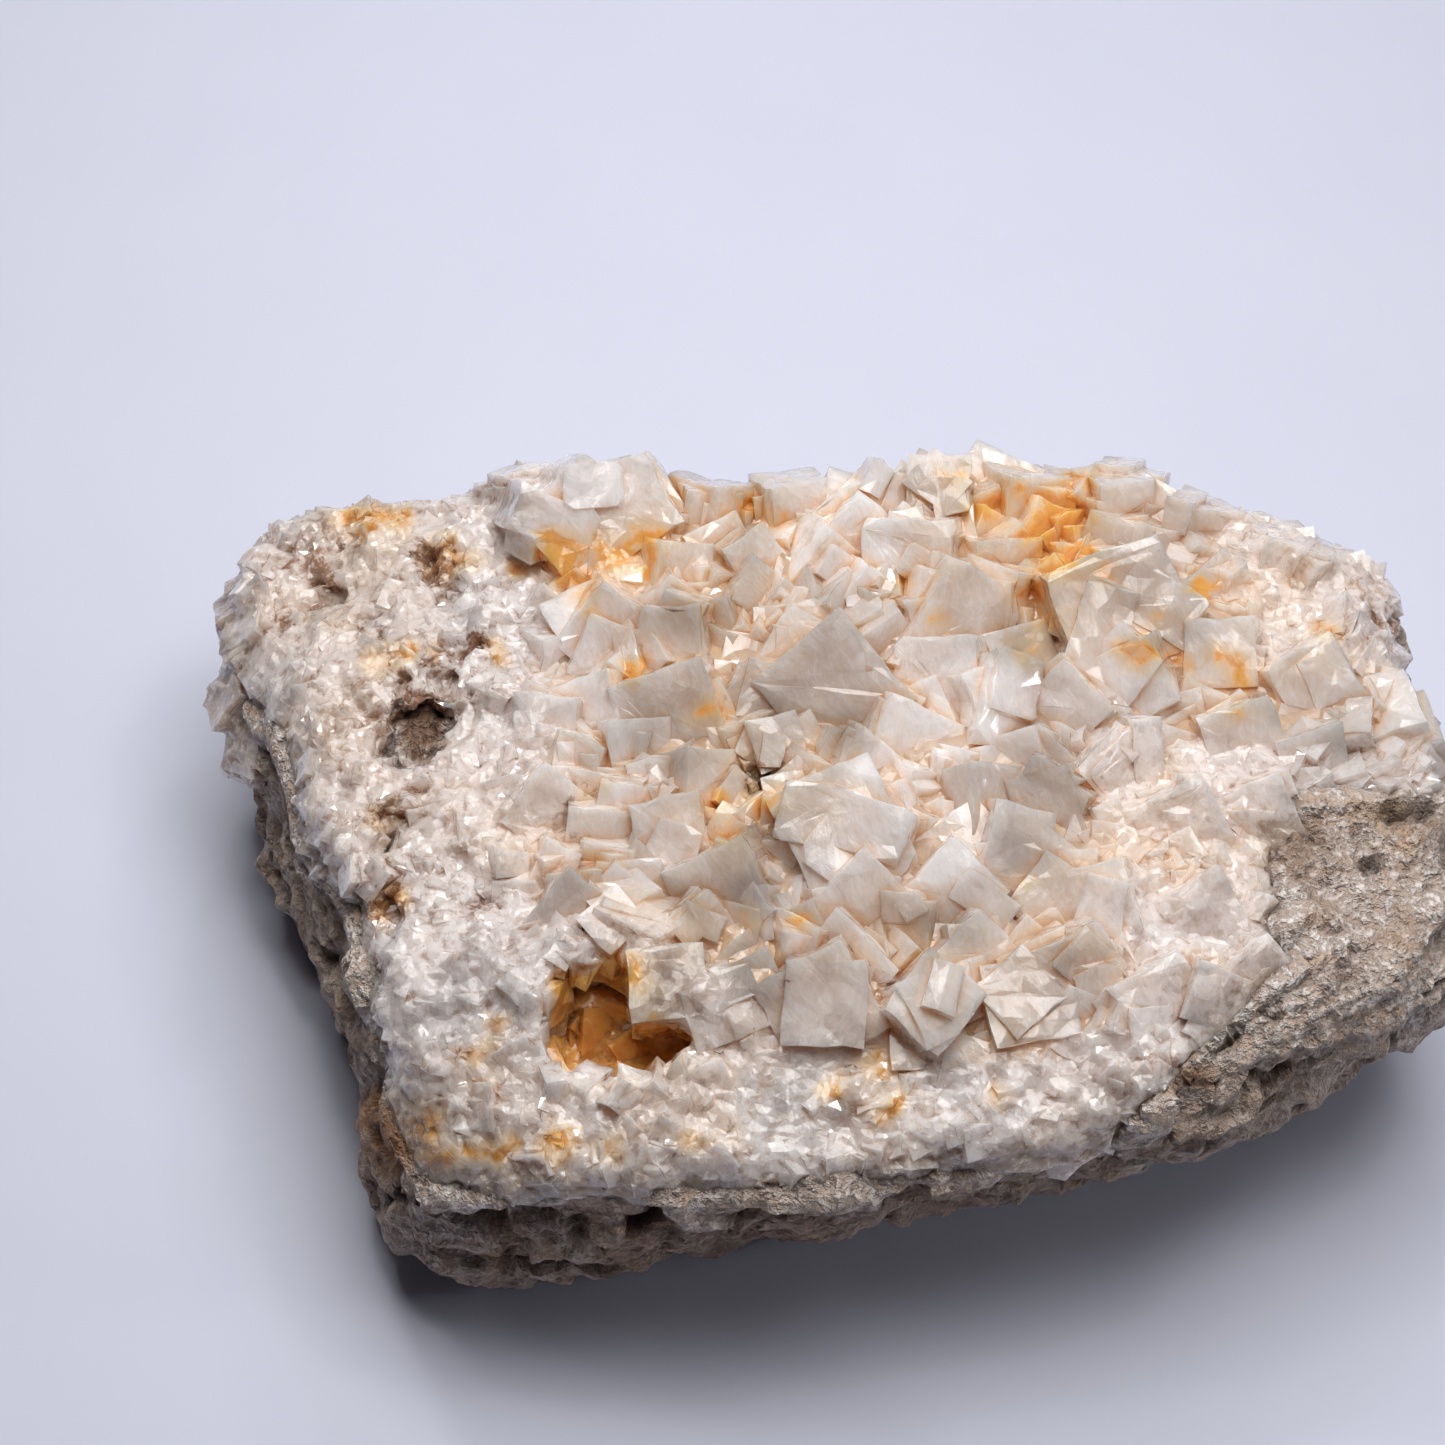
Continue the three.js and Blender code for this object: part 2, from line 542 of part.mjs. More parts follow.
// An irregular rounded polyhedron for a cavity.
function cavitySolid([x, y, rx, ry, rz, turnDegrees], n) {
  const geometry = new THREE.IcosahedronGeometry(1, 1);
  const position = geometry.attributes.position;
  const p = new THREE.Vector3();
  for (let i = 0; i < position.count; i += 1) {
    p.fromBufferAttribute(position, i);
    p.multiplyScalar(1 + 0.22 * noise(p.x * 2 + n * 7, p.y * 2, p.z * 2));
    position.setXYZ(i, p.x * rx, p.y * ry, p.z * rz);
  }
  geometry.rotateZ(turnDegrees * degrees);
  geometry.translate(x, y, fieldHeight(x, y) - 0.25 * rz);
  return solidFrom(geometry);
}

// The cubes that stand out over the back of the pocket's mouth.
function overhangCrystals(grow) {
  return wasm.Manifold.union(OVERHANG_CRYSTALS.map(([x, y, z, edge, azimuth, lean, spin], n) => (
    crystalSolid([x, y, z], edge + 2 * grow, crystalTurn(azimuth, lean, spin), 0, 400 + n)
  )));
}

// The pocket's hollow: rings that widen below the mouth and close towards the floor.
function pocketSolid(inset, floorLift) {
  const [cx, cy] = POCKET.middle;
  const mouthZ = fieldHeight(cx, cy);
  const ringAt = (size, z) => POCKET.mouth.map(([x, y], i) => {
    const away = Math.hypot(x - cx, y - cy);
    const reach = (away * size * mix(0.94, 1.06, chance(i, 9, Math.round(size * 10))) - inset) / away;
    return new THREE.Vector3(cx + (x - cx) * reach, cy + (y - cy) * reach, z);
  });
  const floor = mouthZ - POCKET.depth + floorLift;
  const rings = [
    ringAt(1.02, mouthZ + 8),
    ringAt(1, mouthZ - 1),
    ringAt(POCKET.bulge, mouthZ - 4.5),
    ringAt(POCKET.bulge * 0.92, mix(mouthZ - 4.5, floor, 0.6)),
    ringAt(0.6, floor),
  ];
  const top = new THREE.Vector3(cx, cy, mouthZ + 8);
  return solidFrom(skin(rings, top, new THREE.Vector3(cx, cy, floor)));
}

// ---------------------------------------------------------------- the three pieces

const block = blockSolid();
const aboveSeam = slabBeyond((x, y) => seamHeight(x, y) + SEAM_GAP / 2, 70, SEAM_STEP);
const belowSeam = slabBeyond((x, y) => seamHeight(x, y) - SEAM_GAP / 2, -20, SEAM_STEP);
const openings = wasm.Manifold.union([pocketSolid(0, 0), ...CAVITIES.map(cavitySolid)]);
const overhang = overhangCrystals(0);

// The one connected body of a solid; voids sealed between crystals are filled, loose chips dropped.
function mainBody(solid) {
  return solid.decompose().reduce((a, b) => (a.volume() > b.volume() ? a : b));
}

function fluoriteCrust() {
  const field = wasm.Manifold.union([...largeCrystals(), ...fillCrystals()]);
  const opened = block.add(field).subtract(openings);
  return mainBody(opened.add(overhang).intersect(aboveSeam).add(sideCluster(0)));
}

function hostRock() {
  return mainBody(block.intersect(belowSeam).subtract(openings).subtract(sideCluster(SEAM_GAP)));
}

function pocketCrystals() {
  const space = pocketSolid(SEAM_GAP, SEAM_GAP);
  const open = pocketSolid(POCKET.liningThickness, POCKET.liningThickness);
  const belowMouth = slabBeyond(() => fieldHeight(...POCKET.middle) - 5, -20, 36);
  const cubes = POCKET_CRYSTALS.map(([x, y, z, edge, azimuth, lean, spin], n) => (
    crystalSolid([x, y, z], edge, crystalTurn(azimuth, lean, spin), 0, 500 + n)
  ));
  const lining = space.subtract(open).add(wasm.Manifold.union(cubes)).intersect(space);
  return mainBody(lining.intersect(belowMouth).subtract(overhangCrystals(SEAM_GAP)));
}

const specimen = new THREE.Group();

function addPiece(name, solid, colour, roughness) {
  const material = new THREE.MeshStandardMaterial({ color: colour, roughness, metalness: 0 });
  const piece = new THREE.Mesh(geometryFrom(solid), material);
  piece.name = name;
  piece.position.copy(MIDDLE).negate();
  specimen.add(piece);
}

addPiece('host_rock', hostRock(), '#8a7a66', 0.95);
addPiece('fluorite_crust', fluoriteCrust(), '#dcd2c8', 0.35);
addPiece('pocket_crystals', pocketCrystals(), '#b8742e', 0.4);

export default specimen;
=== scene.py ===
# %% [markdown]
# A hand-size fluorite specimen: a pale druse of intergrown cubes on a block of granular brown rock.
# The lesson builds four things: the broken rock, the sugary crust, the clear to milky cubes that
# grow out of it, and the rust-stained crystals inside a small open pocket.

# %% Load the frame
import math
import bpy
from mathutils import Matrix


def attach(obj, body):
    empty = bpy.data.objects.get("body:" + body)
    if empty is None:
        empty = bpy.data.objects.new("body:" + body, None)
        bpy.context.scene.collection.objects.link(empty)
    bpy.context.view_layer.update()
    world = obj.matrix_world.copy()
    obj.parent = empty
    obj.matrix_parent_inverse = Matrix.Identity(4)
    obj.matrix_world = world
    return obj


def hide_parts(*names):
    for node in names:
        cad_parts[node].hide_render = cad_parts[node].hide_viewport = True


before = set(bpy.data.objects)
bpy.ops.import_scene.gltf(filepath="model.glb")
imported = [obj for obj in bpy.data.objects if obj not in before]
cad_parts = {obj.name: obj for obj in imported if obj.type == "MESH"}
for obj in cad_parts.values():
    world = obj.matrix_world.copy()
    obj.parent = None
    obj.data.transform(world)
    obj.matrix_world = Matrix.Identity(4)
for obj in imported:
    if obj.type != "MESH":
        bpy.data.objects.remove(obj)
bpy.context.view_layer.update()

from types import SimpleNamespace

import bmesh
import bpy
import numpy as np

print("frame nodes:", sorted(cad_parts))

# %% [markdown]
# The sizes below are in millimetres, in the working frame in which the specimen is laid out.
# MIDDLE is the point of that frame that lies over the model's origin, so one small function turns
# every millimetre point into metres in the model's own frame.

# %% Measures
MM = 0.001
MIDDLE = np.array([0.2, 5.7, 0.0])


def to_metres(points):
    """Working-frame millimetres to model-frame metres: take MIDDLE away, then scale by a thousandth."""
    return (np.asarray(points, float) - MIDDLE) * MM


def to_layout(points):
    """Model-frame metres back to working-frame millimetres."""
    return np.asarray(points, float) / MM + MIDDLE


print("the origin lies at", to_layout([0, 0, 0]), "mm in the working frame")

# %% [markdown]
# Natural surfaces need noise that can be worked out for a whole array of points at once.
# Value noise gives each corner of a unit lattice a repeatable number and blends the eight corners
# round a point with an S-curve. Several octaves, each half as large and half as strong, make the
# broken look of rock. Numpy does this for a hundred thousand points in a blink.

# %% Noise for whole arrays
def chance(i, j, k):
    """A repeatable number from 0 to 1 for each whole-number place: the fraction of a steep sine."""
    wave = np.sin(i * 127.1 + j * 311.7 + k * 74.7) * 43758.5453
    return wave - np.floor(wave)


def rise(low, high, values):
    """0 below low, 1 above high, and a smooth S-curve between."""
    t = np.clip((np.asarray(values, float) - low) / (high - low), 0, 1)
    return t * t * (3 - 2 * t)


def value_noise(points, size, seed=0):
    """Smooth noise from -1 to 1; size is the width of one lump in millimetres."""
    scaled = np.asarray(points, float) / size + 17.3 * seed
    base = np.floor(scaled)
    t = rise(0, 1, scaled - base)
    total = np.zeros(len(scaled))
    for di in (0, 1):
        for dj in (0, 1):
            for dk in (0, 1):
                share = np.abs(1 - di - t[:, 0]) * np.abs(1 - dj - t[:, 1]) * np.abs(1 - dk - t[:, 2])
                total += share * chance(base[:, 0] + di, base[:, 1] + dj, base[:, 2] + dk)
    return 2 * total - 1


def layered_noise(points, size, octaves=3, seed=0):
    """A sum of octaves of value noise, each half as wide and half as strong as the one before."""
    total = np.zeros(len(points))
    for octave in range(octaves):
        total += value_noise(points, size / 2**octave, seed + octave) / 2**octave
    return total


def noise_vectors(points, size, octaves, seeds):
    """Layered noise side by side, one column for each seed."""
    return np.stack([layered_noise(points, size, octaves, seed) for seed in seeds], 1)


sample = layered_noise(np.random.default_rng(3).uniform(-50, 50, (1000, 3)), 6)
print("noise range:", sample.min().round(2), "to", sample.max().round(2))

# %% [markdown]
# Every piece ends as plain arrays: points, and faces that all have the same number of corners.
# One function turns them into a mesh with foreach_set, another paints named numbers on the points
# or faces for the materials to read, and a third registers the piece with the frame.

# %% From arrays to pieces
def mesh_from(name, points, faces):
    """A mesh from an array of points in metres and an array of faces with equal corner counts."""
    mesh = bpy.data.meshes.new(name)
    faces = np.asarray(faces, np.int32)
    mesh.vertices.add(len(points))
    mesh.vertices.foreach_set("co", np.asarray(points, np.float32).ravel())
    mesh.loops.add(faces.size)
    mesh.loops.foreach_set("vertex_index", faces.ravel())
    mesh.polygons.add(len(faces))
    mesh.polygons.foreach_set("loop_start", np.arange(0, faces.size, faces.shape[1], dtype=np.int32))
    mesh.update(calc_edges=True)
    return mesh


def paint(mesh, numbers, domain="POINT"):
    """Stores one number per point or face under each name, for the materials' Attribute nodes."""
    for name, values in numbers.items():
        layer = mesh.attributes.new(name, "FLOAT", domain)
        layer.data.foreach_set("value", np.asarray(values, np.float32))


def vectors_of(rows, field):
    """One vector for each row of a mesh's collection, such as the points' co, as an array."""
    flat = np.empty(len(rows) * 3, np.float32)
    rows.foreach_get(field, flat)
    return flat.reshape(-1, 3).astype(float)


def corners_of(rows, each):
    """The numbers of the points at each edge's two ends or each triangle's three corners."""
    flat = np.empty(len(rows) * each, np.int32)
    rows.foreach_get("vertices", flat)
    return flat.reshape(-1, each)


def layout_points(mesh):
    """The mesh's points in working-frame millimetres."""
    return to_layout(vectors_of(mesh.vertices, "co"))


def set_points(mesh, points):
    """Gives the mesh new points, in metres."""
    mesh.vertices.foreach_set("co", points.astype(np.float32).ravel())
    mesh.update()


def in_scene(name, data):
    """A new object in the scene for a mesh, a light or a camera."""
    thing = bpy.data.objects.new(name, data)
    bpy.context.scene.collection.objects.link(thing)
    return thing


def with_modifiers(mesh, steps):
    """A mesh as some modifiers leave it. Each step is a modifier's kind and its settings."""
    holder = in_scene("holder", mesh)
    for kind, settings in steps:
        modifier = holder.modifiers.new(kind.lower(), kind)
        for key, value in settings.items():
            setattr(modifier, key, value)
    evaluated = holder.evaluated_get(bpy.context.evaluated_depsgraph_get())
    result = bpy.data.meshes.new_from_object(evaluated)
    bpy.data.objects.remove(holder)
    return result


def add_piece(name, mesh, material, node):
    """Puts a finished mesh in the scene at the origin, rides it on the root body and hides the plain solid.
    """
    mesh.materials.clear()
    mesh.materials.append(material)
    mesh.shade_flat()
    piece = in_scene(name, mesh)
    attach(piece, "root")
    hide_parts(node)
    mesh.calc_loop_triangles()
    print(name, "triangles:", len(mesh.loop_triangles))


# %% [markdown]
# Shader sums read best as sums. The class below wraps a socket, so that a + b or 1 - mask adds the
# Math node for it, and one method makes every other node from its type, settings and inputs.

# %% A small language for materials
class Wire:
    """A node's output that can be added, subtracted and multiplied like a number."""

    def __init__(self, finish, socket):
        self.finish = finish
        self.socket = socket

    def maths(self, operation, first, second):
        """A Math node on two values."""
        return self.finish.node("ShaderNodeMath", {"operation": operation}, {0: first, 1: second})

    def __add__(self, other):
        return self.maths("ADD", self, other)

    def __radd__(self, other):
        return self.maths("ADD", other, self)

    def __sub__(self, other):
        return self.maths("SUBTRACT", self, other)

    def __rsub__(self, other):
        return self.maths("SUBTRACT", other, self)

    def __mul__(self, other):
        return self.maths("MULTIPLY", self, other)

    def __rmul__(self, other):
        return self.maths("MULTIPLY", other, self)

    def clipped(self):
        """The value kept between 0 and 1."""
        return self.finish.node("ShaderNodeClamp", {}, {"Value": self})


class Finish:
    """A material being built: its node tree, and short ways to the nodes that are used most."""

    def __init__(self, name):
        self.material = bpy.data.materials.new(name)
        self.material.use_nodes = True
        self.tree = self.material.node_tree
        self.tree.nodes.clear()
        self.output = self.tree.nodes.new("ShaderNodeOutputMaterial")
        self.place = self.node("ShaderNodeTexCoord", {}, {}, "Object")

    def node(self, kind, settings, inputs, output=0):
        """A new node: its settings are set first, then each input gets its link or its value."""
        made = self.tree.nodes.new(kind)
        for key, value in settings.items():
            setattr(made, key, value)
        for key, value in inputs.items():
            socket = made.inputs[key]
            if isinstance(value, Wire):
                self.tree.links.new(value.socket, socket)
            elif socket.type == "RGBA":
                socket.default_value = (*value, 1)
            else:
                socket.default_value = value
        return Wire(self, made.outputs[output])

    def painted(self, name):
        """The number that was painted on the points or faces under this name."""
        return self.node("ShaderNodeAttribute", {"attribute_name": name}, {}, "Fac")

    def noise(self, size, detail=2.0, roughness=0.5):
        """Noise from about 0.3 to 0.7, with lumps of the given size in metres."""
        inputs = {"Vector": self.place, "Scale": 1 / size, "Detail": detail, "Roughness": roughness}
        return self.node("ShaderNodeTexNoise", {}, inputs)

    def ramp(self, value, low, high):
        """0 where value is low, 1 where it is high, with a smooth curve between."""
        inputs = {"Value": value, "From Min": low, "From Max": high}
        return self.node("ShaderNodeMapRange", {"interpolation_type": "SMOOTHSTEP"}, inputs)

    def colour_mix(self, share, first, second):
        """The first colour where share is 0, the second where it is 1: (1 - share) * a + share * b."""
        return self.node("ShaderNodeMix", {"data_type": "RGBA"}, {0: share, 6: first, 7: second}, 2)

    def layered(self, base, layers):
        """The base colour with each layer's colour mixed in by the layer's share, one after another."""
        for share, colour in layers:
            base = self.colour_mix(share, base, colour)
        return base

    def cells(self, place, size):
        """A random colour for each cell of a crystal-like pattern, in cells of the given size."""
        inputs = {"Vector": place, "Scale": 1 / size}
        return self.node("ShaderNodeTexVoronoi", {"feature": "F1"}, inputs, "Color")

    def normal(self):
        """The surface's own normal."""
        return self.node("ShaderNodeNewGeometry", {}, {}, "Normal")

    def bump(self, height, distance, strength, normal):
        """A normal that follows a height, added to the normal it is given."""
        inputs = {"Height": height, "Distance": distance, "Strength": strength, "Normal": normal}
        return self.node("ShaderNodeBump", {}, inputs)

    def hollow(self, distance):
        """How shut in a place is, looking as far as distance: 1 - ambient occlusion."""
        return 1 - self.node("ShaderNodeAmbientOcclusion", {"samples": 2}, {"Distance": distance}, "AO")

    def tilted(self, normal, cells, strength):
        """A normal leaned by the random colour of each cell: normal + (colour - 1/2) * strength."""
        lean = self.node("ShaderNodeVectorMath", {"operation": "SUBTRACT"}, {0: cells, 1: (0.5, 0.5, 0.5)})
        lean = self.node("ShaderNodeVectorMath", {"operation": "SCALE"}, {0: lean, "Scale": strength})
        total = self.node("ShaderNodeVectorMath", {"operation": "ADD"}, {0: normal, 1: lean})
        return self.node("ShaderNodeVectorMath", {"operation": "NORMALIZE"}, {0: total})

    def principled(self, inputs):
        """A Principled shader with these inputs."""
        return self.node("ShaderNodeBsdfPrincipled", {}, inputs)

    def surface(self, shader):
        """Links the finished shader and gives back the material."""
        self.tree.links.new(shader.socket, self.output.inputs["Surface"])
        return self.material


print("short ways in a Finish:", [name for name in vars(Finish) if not name.startswith("_")])

# %% [markdown]
# A fluorite crystal is a cube whose corners may be cut by small octahedron faces. Hundreds of
# different crystals come from one formula: every corner of the cube becomes three points, each slid
# a little way down one of the three edges that meet there. Where the slide is zero the cube is
# plain. Bmesh bevels could cut one crystal at a time; the formula makes all of them at once.

# %% The crystal formula
SIGNS = np.array([[x, y, z] for x in (-1, 1) for y in (-1, 1) for z in (-1, 1)], float)


def outward(faces, points):
    """The faces of a convex shape round the origin, wound so that every normal points outwards."""
    faces = np.array(faces)
    a, b, c = (points[faces[:, i]] for i in range(3))
    inward = (np.cross(b - a, c - a) * (a + b + c)).sum(1) < 0
    faces[inward] = faces[inward][:, ::-1]
    return faces


def face_loop(points, axis, side):
    """The points of a face in order round its middle: sorted by the angle about the face's axis."""
    on_face = np.flatnonzero(np.abs(points[:, axis] * side - 1) < 1e-6)
    around = np.arctan2(points[on_face, (axis + 1) % 3], points[on_face, (axis + 2) % 3])
    return on_face[np.argsort(around)]


def fan(loop):
    """Triangles that fill a convex loop from its first point."""
    return [[loop[0], loop[i], loop[i + 1]] for i in range(1, len(loop) - 1)]


def cube_faces(points):
    """Triangles that fill the six faces of a cube, cut or plain."""
    return [t for axis in range(3) for side in (-1, 1) for t in fan(face_loop(points, axis, side))]


cut_pattern = np.concatenate([SIGNS * (1 - 0.2 * np.eye(3)[k]) for k in range(3)])
corner_faces = [[c, c + 8, c + 16] for c in range(8)]
plain_faces = outward(cube_faces(SIGNS), SIGNS)
cut_faces = outward(cube_faces(cut_pattern) + corner_faces, cut_pattern)
print("faces per crystal:", len(plain_faces), "plain,", len(cut_faces), "with cut corners")

# %% [markdown]
# Each crystal of the druse has its own turn. Three angles are easy to write down in a table: which
# way it leans, how far, and how it is spun about its own axis before that. Products of matrices
# turn all the crystals at once.

# %% Turns
def about(axis, degrees):
    """Turn matrices about x, y or z (0, 1 or 2), one for each angle."""
    angle = np.radians(np.atleast_1d(np.asarray(degrees, float)))
    j, k = (axis + 1) % 3, (axis + 2) % 3
    turn = np.zeros((len(angle), 3, 3))
    turn[:, axis, axis] = 1
    turn[:, j, j] = turn[:, k, k] = np.cos(angle)
    turn[:, j, k] = -np.sin(angle)
    turn[:, k, j] = np.sin(angle)
    return turn


def crystal_turns(azimuth, lean, spin):
    """Turn matrices: spin about the upright axis, then lean it towards the azimuth. In degrees."""
    return about(2, azimuth) @ about(1, lean) @ about(2, spin)


print("the axis of a crystal that leans flat to the right:", crystal_turns(0, 90, 0)[0, :, 2].round(2))

# %% [markdown]
# Many crystals are kept together as one set of arrays: centres, half widths, turns, cut corners and
# how unevenly they are cut. A set is quick to choose from, to put together with another, and to
# test points against.

# %% Sets of crystals
def crystal_mesh_arrays(crystals, cut):
    """Points and triangles of many crystals in millimetres, one after another.

    Point = centre + turn * (corner signs * half widths), and where cut is true each corner gives
    three points, each with one coordinate shortened by the crystal's own share of truncation.
    """
    centre, half, turn, corner = (crystals[k] for k in ("centre", "half", "turn", "corner"))
    if cut:
        uneven = crystals["uneven"][:, :, None]
        shorten = 1 - 2 * corner[:, None, None] * uneven * np.repeat(np.eye(3), 8, 0)
        local = np.tile(SIGNS, (3, 1))[None] * half[:, None, :] * shorten
        faces = cut_faces
    else:
        local = SIGNS[None] * half[:, None, :]
        faces = plain_faces
    points = np.einsum("cij,cgj->cgi", turn, local) + centre[:, None, :]
    count, each = points.shape[:2]
    all_faces = (faces[None] + np.arange(count)[:, None, None] * each).reshape(-1, 3)
    return points.reshape(-1, 3), all_faces


def make_crystals(centre, half, turn, corner, rng):
    """A set of crystals: centre, half widths, turn, and how much of each corner is cut, unevenly."""
    uneven = rng.uniform(0.5, 1.3, (len(centre), 24))
    corner = np.broadcast_to(np.asarray(corner, float), (len(centre),)).copy()
    return {"centre": centre, "half": half, "turn": turn, "corner": corner, "uneven": uneven}


def chosen(crystals, mask):
    """The crystals for which mask is true."""
    return {k: v[mask] for k, v in crystals.items()}


def together(*sets):
    """Several sets of crystals as one."""
    return {k: np.concatenate([s[k] for s in sets]) for k in sets[0]}


def is_inside(points, crystals, margin):
    """For each point, whether it lies inside any of the crystals shrunk by margin.

    A point is inside where each of its distances along the crystal's axes is less than the half
    width there, and their sum, in shares of the half widths, stops short of the cut corners.
    """
    inside = np.zeros(len(points), bool)
    for centre, half, turn, corner in zip(*(crystals[k] for k in ("centre", "half", "turn", "corner"))):
        near = np.flatnonzero(np.abs(points - centre).max(1) < half.max() * 1.75)
        local = np.abs((points[near] - centre) @ turn)
        shrunk = np.maximum(half - margin, 0.05)
        inside[near] |= (local < shrunk).all(1) & ((local / shrunk).sum(1) < 3 - 2 * corner)
    return inside


upright = crystal_turns(0, 0, 0)
lone = make_crystals(np.zeros((1, 3)), np.ones((1, 3)), upright, 0, np.random.default_rng(1))
tried = np.array([[0.0, 0.0, 0.0], [1.0, 1.0, 3.0]])
print("a cube holds its middle, and not a far point:", is_inside(tried, lone, 0.1))

# %% [markdown]
# The druse lies on a gently swelling field. Its height is the plateau, less a slow fall towards the
# left, right and front, less the drops of the left shoulder and the front-left corner, plus a
# bell-shaped swell or hollow for each row of a short table: x, y, radius and height. The same
# numbers shape the solid model, so both agree.

# %% The field of the druse
PLATEAU_Z = 34.0
SWELLS = np.array([
    [-22, 37, 7, 1.8], [-1, 19, 8, 1.6], [10, 30, 8, 1.4], [27, 27, 7, 1.2], [1, 0, 8, 1.6],
    [8, -16, 5, 0.8], [-19, 24, 6, 0.6], [-7.5, 7, 3.6, -3.2], [20.5, 33, 4.2, -3.6],
    [19, 21, 3.2, -2.4], [-38, 12, 4, -1.8], [17, -6, 2.6, -1.8], [-25, 29, 3, -1.4], [44, 27, 6, -1.0],
])
LEFT_FALL_X, LEFT_FALL = -8, 0.00154
RIGHT_FALL_X, RIGHT_FALL = 14, 0.0013
FRONT_FALL_Y, FRONT_FALL = -14, 0.3
SHOULDER = {"x": -51, "y": 18, "dx": 16 / 28, "dy": 23 / 28, "drop": 3, "width": 5}
CORNER = {"x": -40, "y": -30, "drop": 3.4, "inner": 4, "outer": 17}


def field_height(x, y):
    """Plateau - end falls - front fall - shoulder drop - front-left corner's drop + the swells."""
    z = PLATEAU_Z - LEFT_FALL * np.maximum(0, LEFT_FALL_X - x) ** 2
    z = z - RIGHT_FALL * np.maximum(0, x - RIGHT_FALL_X) ** 2
    z = z - FRONT_FALL * np.maximum(0, FRONT_FALL_Y - y)
    across = (x - SHOULDER["x"]) * SHOULDER["dy"] - (y - SHOULDER["y"]) * SHOULDER["dx"]
    z = z - SHOULDER["drop"] * rise(0, SHOULDER["width"], -across)
    from_corner = np.hypot(x - CORNER["x"], y - CORNER["y"])
    z = z - CORNER["drop"] * (1 - rise(CORNER["inner"], CORNER["outer"], from_corner))
    for sx, sy, radius, height in SWELLS:
        z = z + height * np.exp(-((x - sx) ** 2 + (y - sy) ** 2) / radius**2)
    return z


def in_oval(x, y, oval):
    """Distance from an oval's middle in shares of its radius: 1 on the oval, less inside it."""
    middle_x, middle_y, radius_x, radius_y = oval
    return np.hypot((x - middle_x) / radius_x, (y - middle_y) / radius_y)


def in_spots(at, spots):
    """The strongest of a list of soft round spots at each place: strength * exp(-(distance/radius)^2)."""
    total = np.zeros(len(at))
    for x, y, radius, strength in spots:
        away = ((at[:, 0] - x) ** 2 + (at[:, 1] - y) ** 2) / radius**2
        total = np.maximum(total, strength * np.exp(-away))
    return total


print("field height in the middle:", round(float(field_height(0.0, 6.0)), 2), "mm")

# %% [markdown]
# Not all of the crust carries large cubes. The left shoulder, the front and the right are sugary: a
# mass of grains and low, broken facets. A druse could be given one density everywhere, but then
# these calm parts, which make the large crystals stand out, would be lost. So a share from 0 to 1,
# put together from soft steps across the field, says how calm a place is. On the sloping right end
# the rock is bare, and a closed line round it says where no crust grew.

# %% Calm parts of the druse
BARE_GROUND = np.array([
    [30, -40], [64, -30], [66, 7], [56, 6.6], [47, 5], [37, 2], [40, -4.4], [42.5, -8], [44.6, -10.6],
    [42, -12.6], [35.5, -17], [28.5, -23],
])
BARE_MARGIN = 2.4


def on_bare_ground(x, y):
    """0 outside the line round the bare rock, 1 further inside it than the margin."""
    inside = np.zeros(len(x), bool)
    nearest = np.full(len(x), np.inf)
    for (ax, ay), (bx, by) in zip(BARE_GROUND, np.roll(BARE_GROUND, -1, axis=0)):
        length = (bx - ax) ** 2 + (by - ay) ** 2
        along = np.clip(((x - ax) * (bx - ax) + (y - ay) * (by - ay)) / length, 0, 1)
        nearest = np.minimum(nearest, np.hypot(x - ax - along * (bx - ax), y - ay - along * (by - ay)))
        with np.errstate(divide="ignore", invalid="ignore"):
            crossing = ax + (y - ay) / (by - ay) * (bx - ax)
        inside ^= ((ay > y) != (by > y)) & (x < crossing)
    return np.where(inside, rise(0, BARE_MARGIN, nearest), 0.0)


CRUST_THICKNESS = 6.5
BARE_RISE = 2.2
LEFT_THINNING = 2.2
FRONT_THINNING = 3.4
CALM_POCKET = (-21, -19.5, 9.5, 8.0)


def seam_height(x, y):
    """Where the crust meets the rock: the field's height less the crust's thickness.

    The thickness is less towards the left and front, and turns negative on bare ground.
    """
    thickness = CRUST_THICKNESS * (1 - BARE_RISE * on_bare_ground(x, y))
    thinning = LEFT_THINNING * rise(-34, -44, x) + FRONT_THINNING * rise(-22, -29, y)
    return field_height(x, y) - thickness + thinning


def calm_share(points):
    """1 in the massive left, front and right parts of the druse, 0 among the large cubes."""
    at = points + 1.5 * noise_vectors(points, 7, 2, (21, 22, 23))
    left = rise(-22, -31, at[:, 0])
    front = rise(-18, -23, at[:, 1])
    right = rise(20, 28, at[:, 0]) * rise(13, 8, at[:, 1])
    back_right = rise(35, 42, at[:, 0]) * rise(17, 22, at[:, 1])
    pocket = rise(1.6, 1.1, in_oval(at[:, 0], at[:, 1], CALM_POCKET))
    side = rise(28, 24, at[:, 2])
    return np.maximum.reduce([left, front, 0.7 * right, 0.8 * back_right, pocket, side])


left_and_middle = np.array([[-45.0, 0.0, 32.0], [5.0, 5.0, 35.0]])
print("calm share on the left and in the middle:", calm_share(left_and_middle).round(2))

# %% [markdown]
# Patterns such as rust and chalky white were noted as they are seen on the specimen when it is
# looked at from the front and above. sight() carries each point along that line of sight on to one
# level plane, so a pattern drawn on the plane lands where it is seen. It is worked out once from
# places alone, so the pattern stays on the stone when the specimen is turned.

# %% The line of sight
EYE = np.array([-10.0, -181.02, 310.5])
PATTERN_Z = 34.0


def sight(points):
    """Where the line from EYE through each point meets the level plane at PATTERN_Z."""
    share = (EYE[2] - PATTERN_Z) / (EYE[2] - points[:, 2])
    return EYE[:2] + (points[:, :2] - EYE[:2]) * share[:, None]


print("a point at the foot in front is drawn at", sight(np.array([[0.0, -30.0, 0.0]])).round(1))

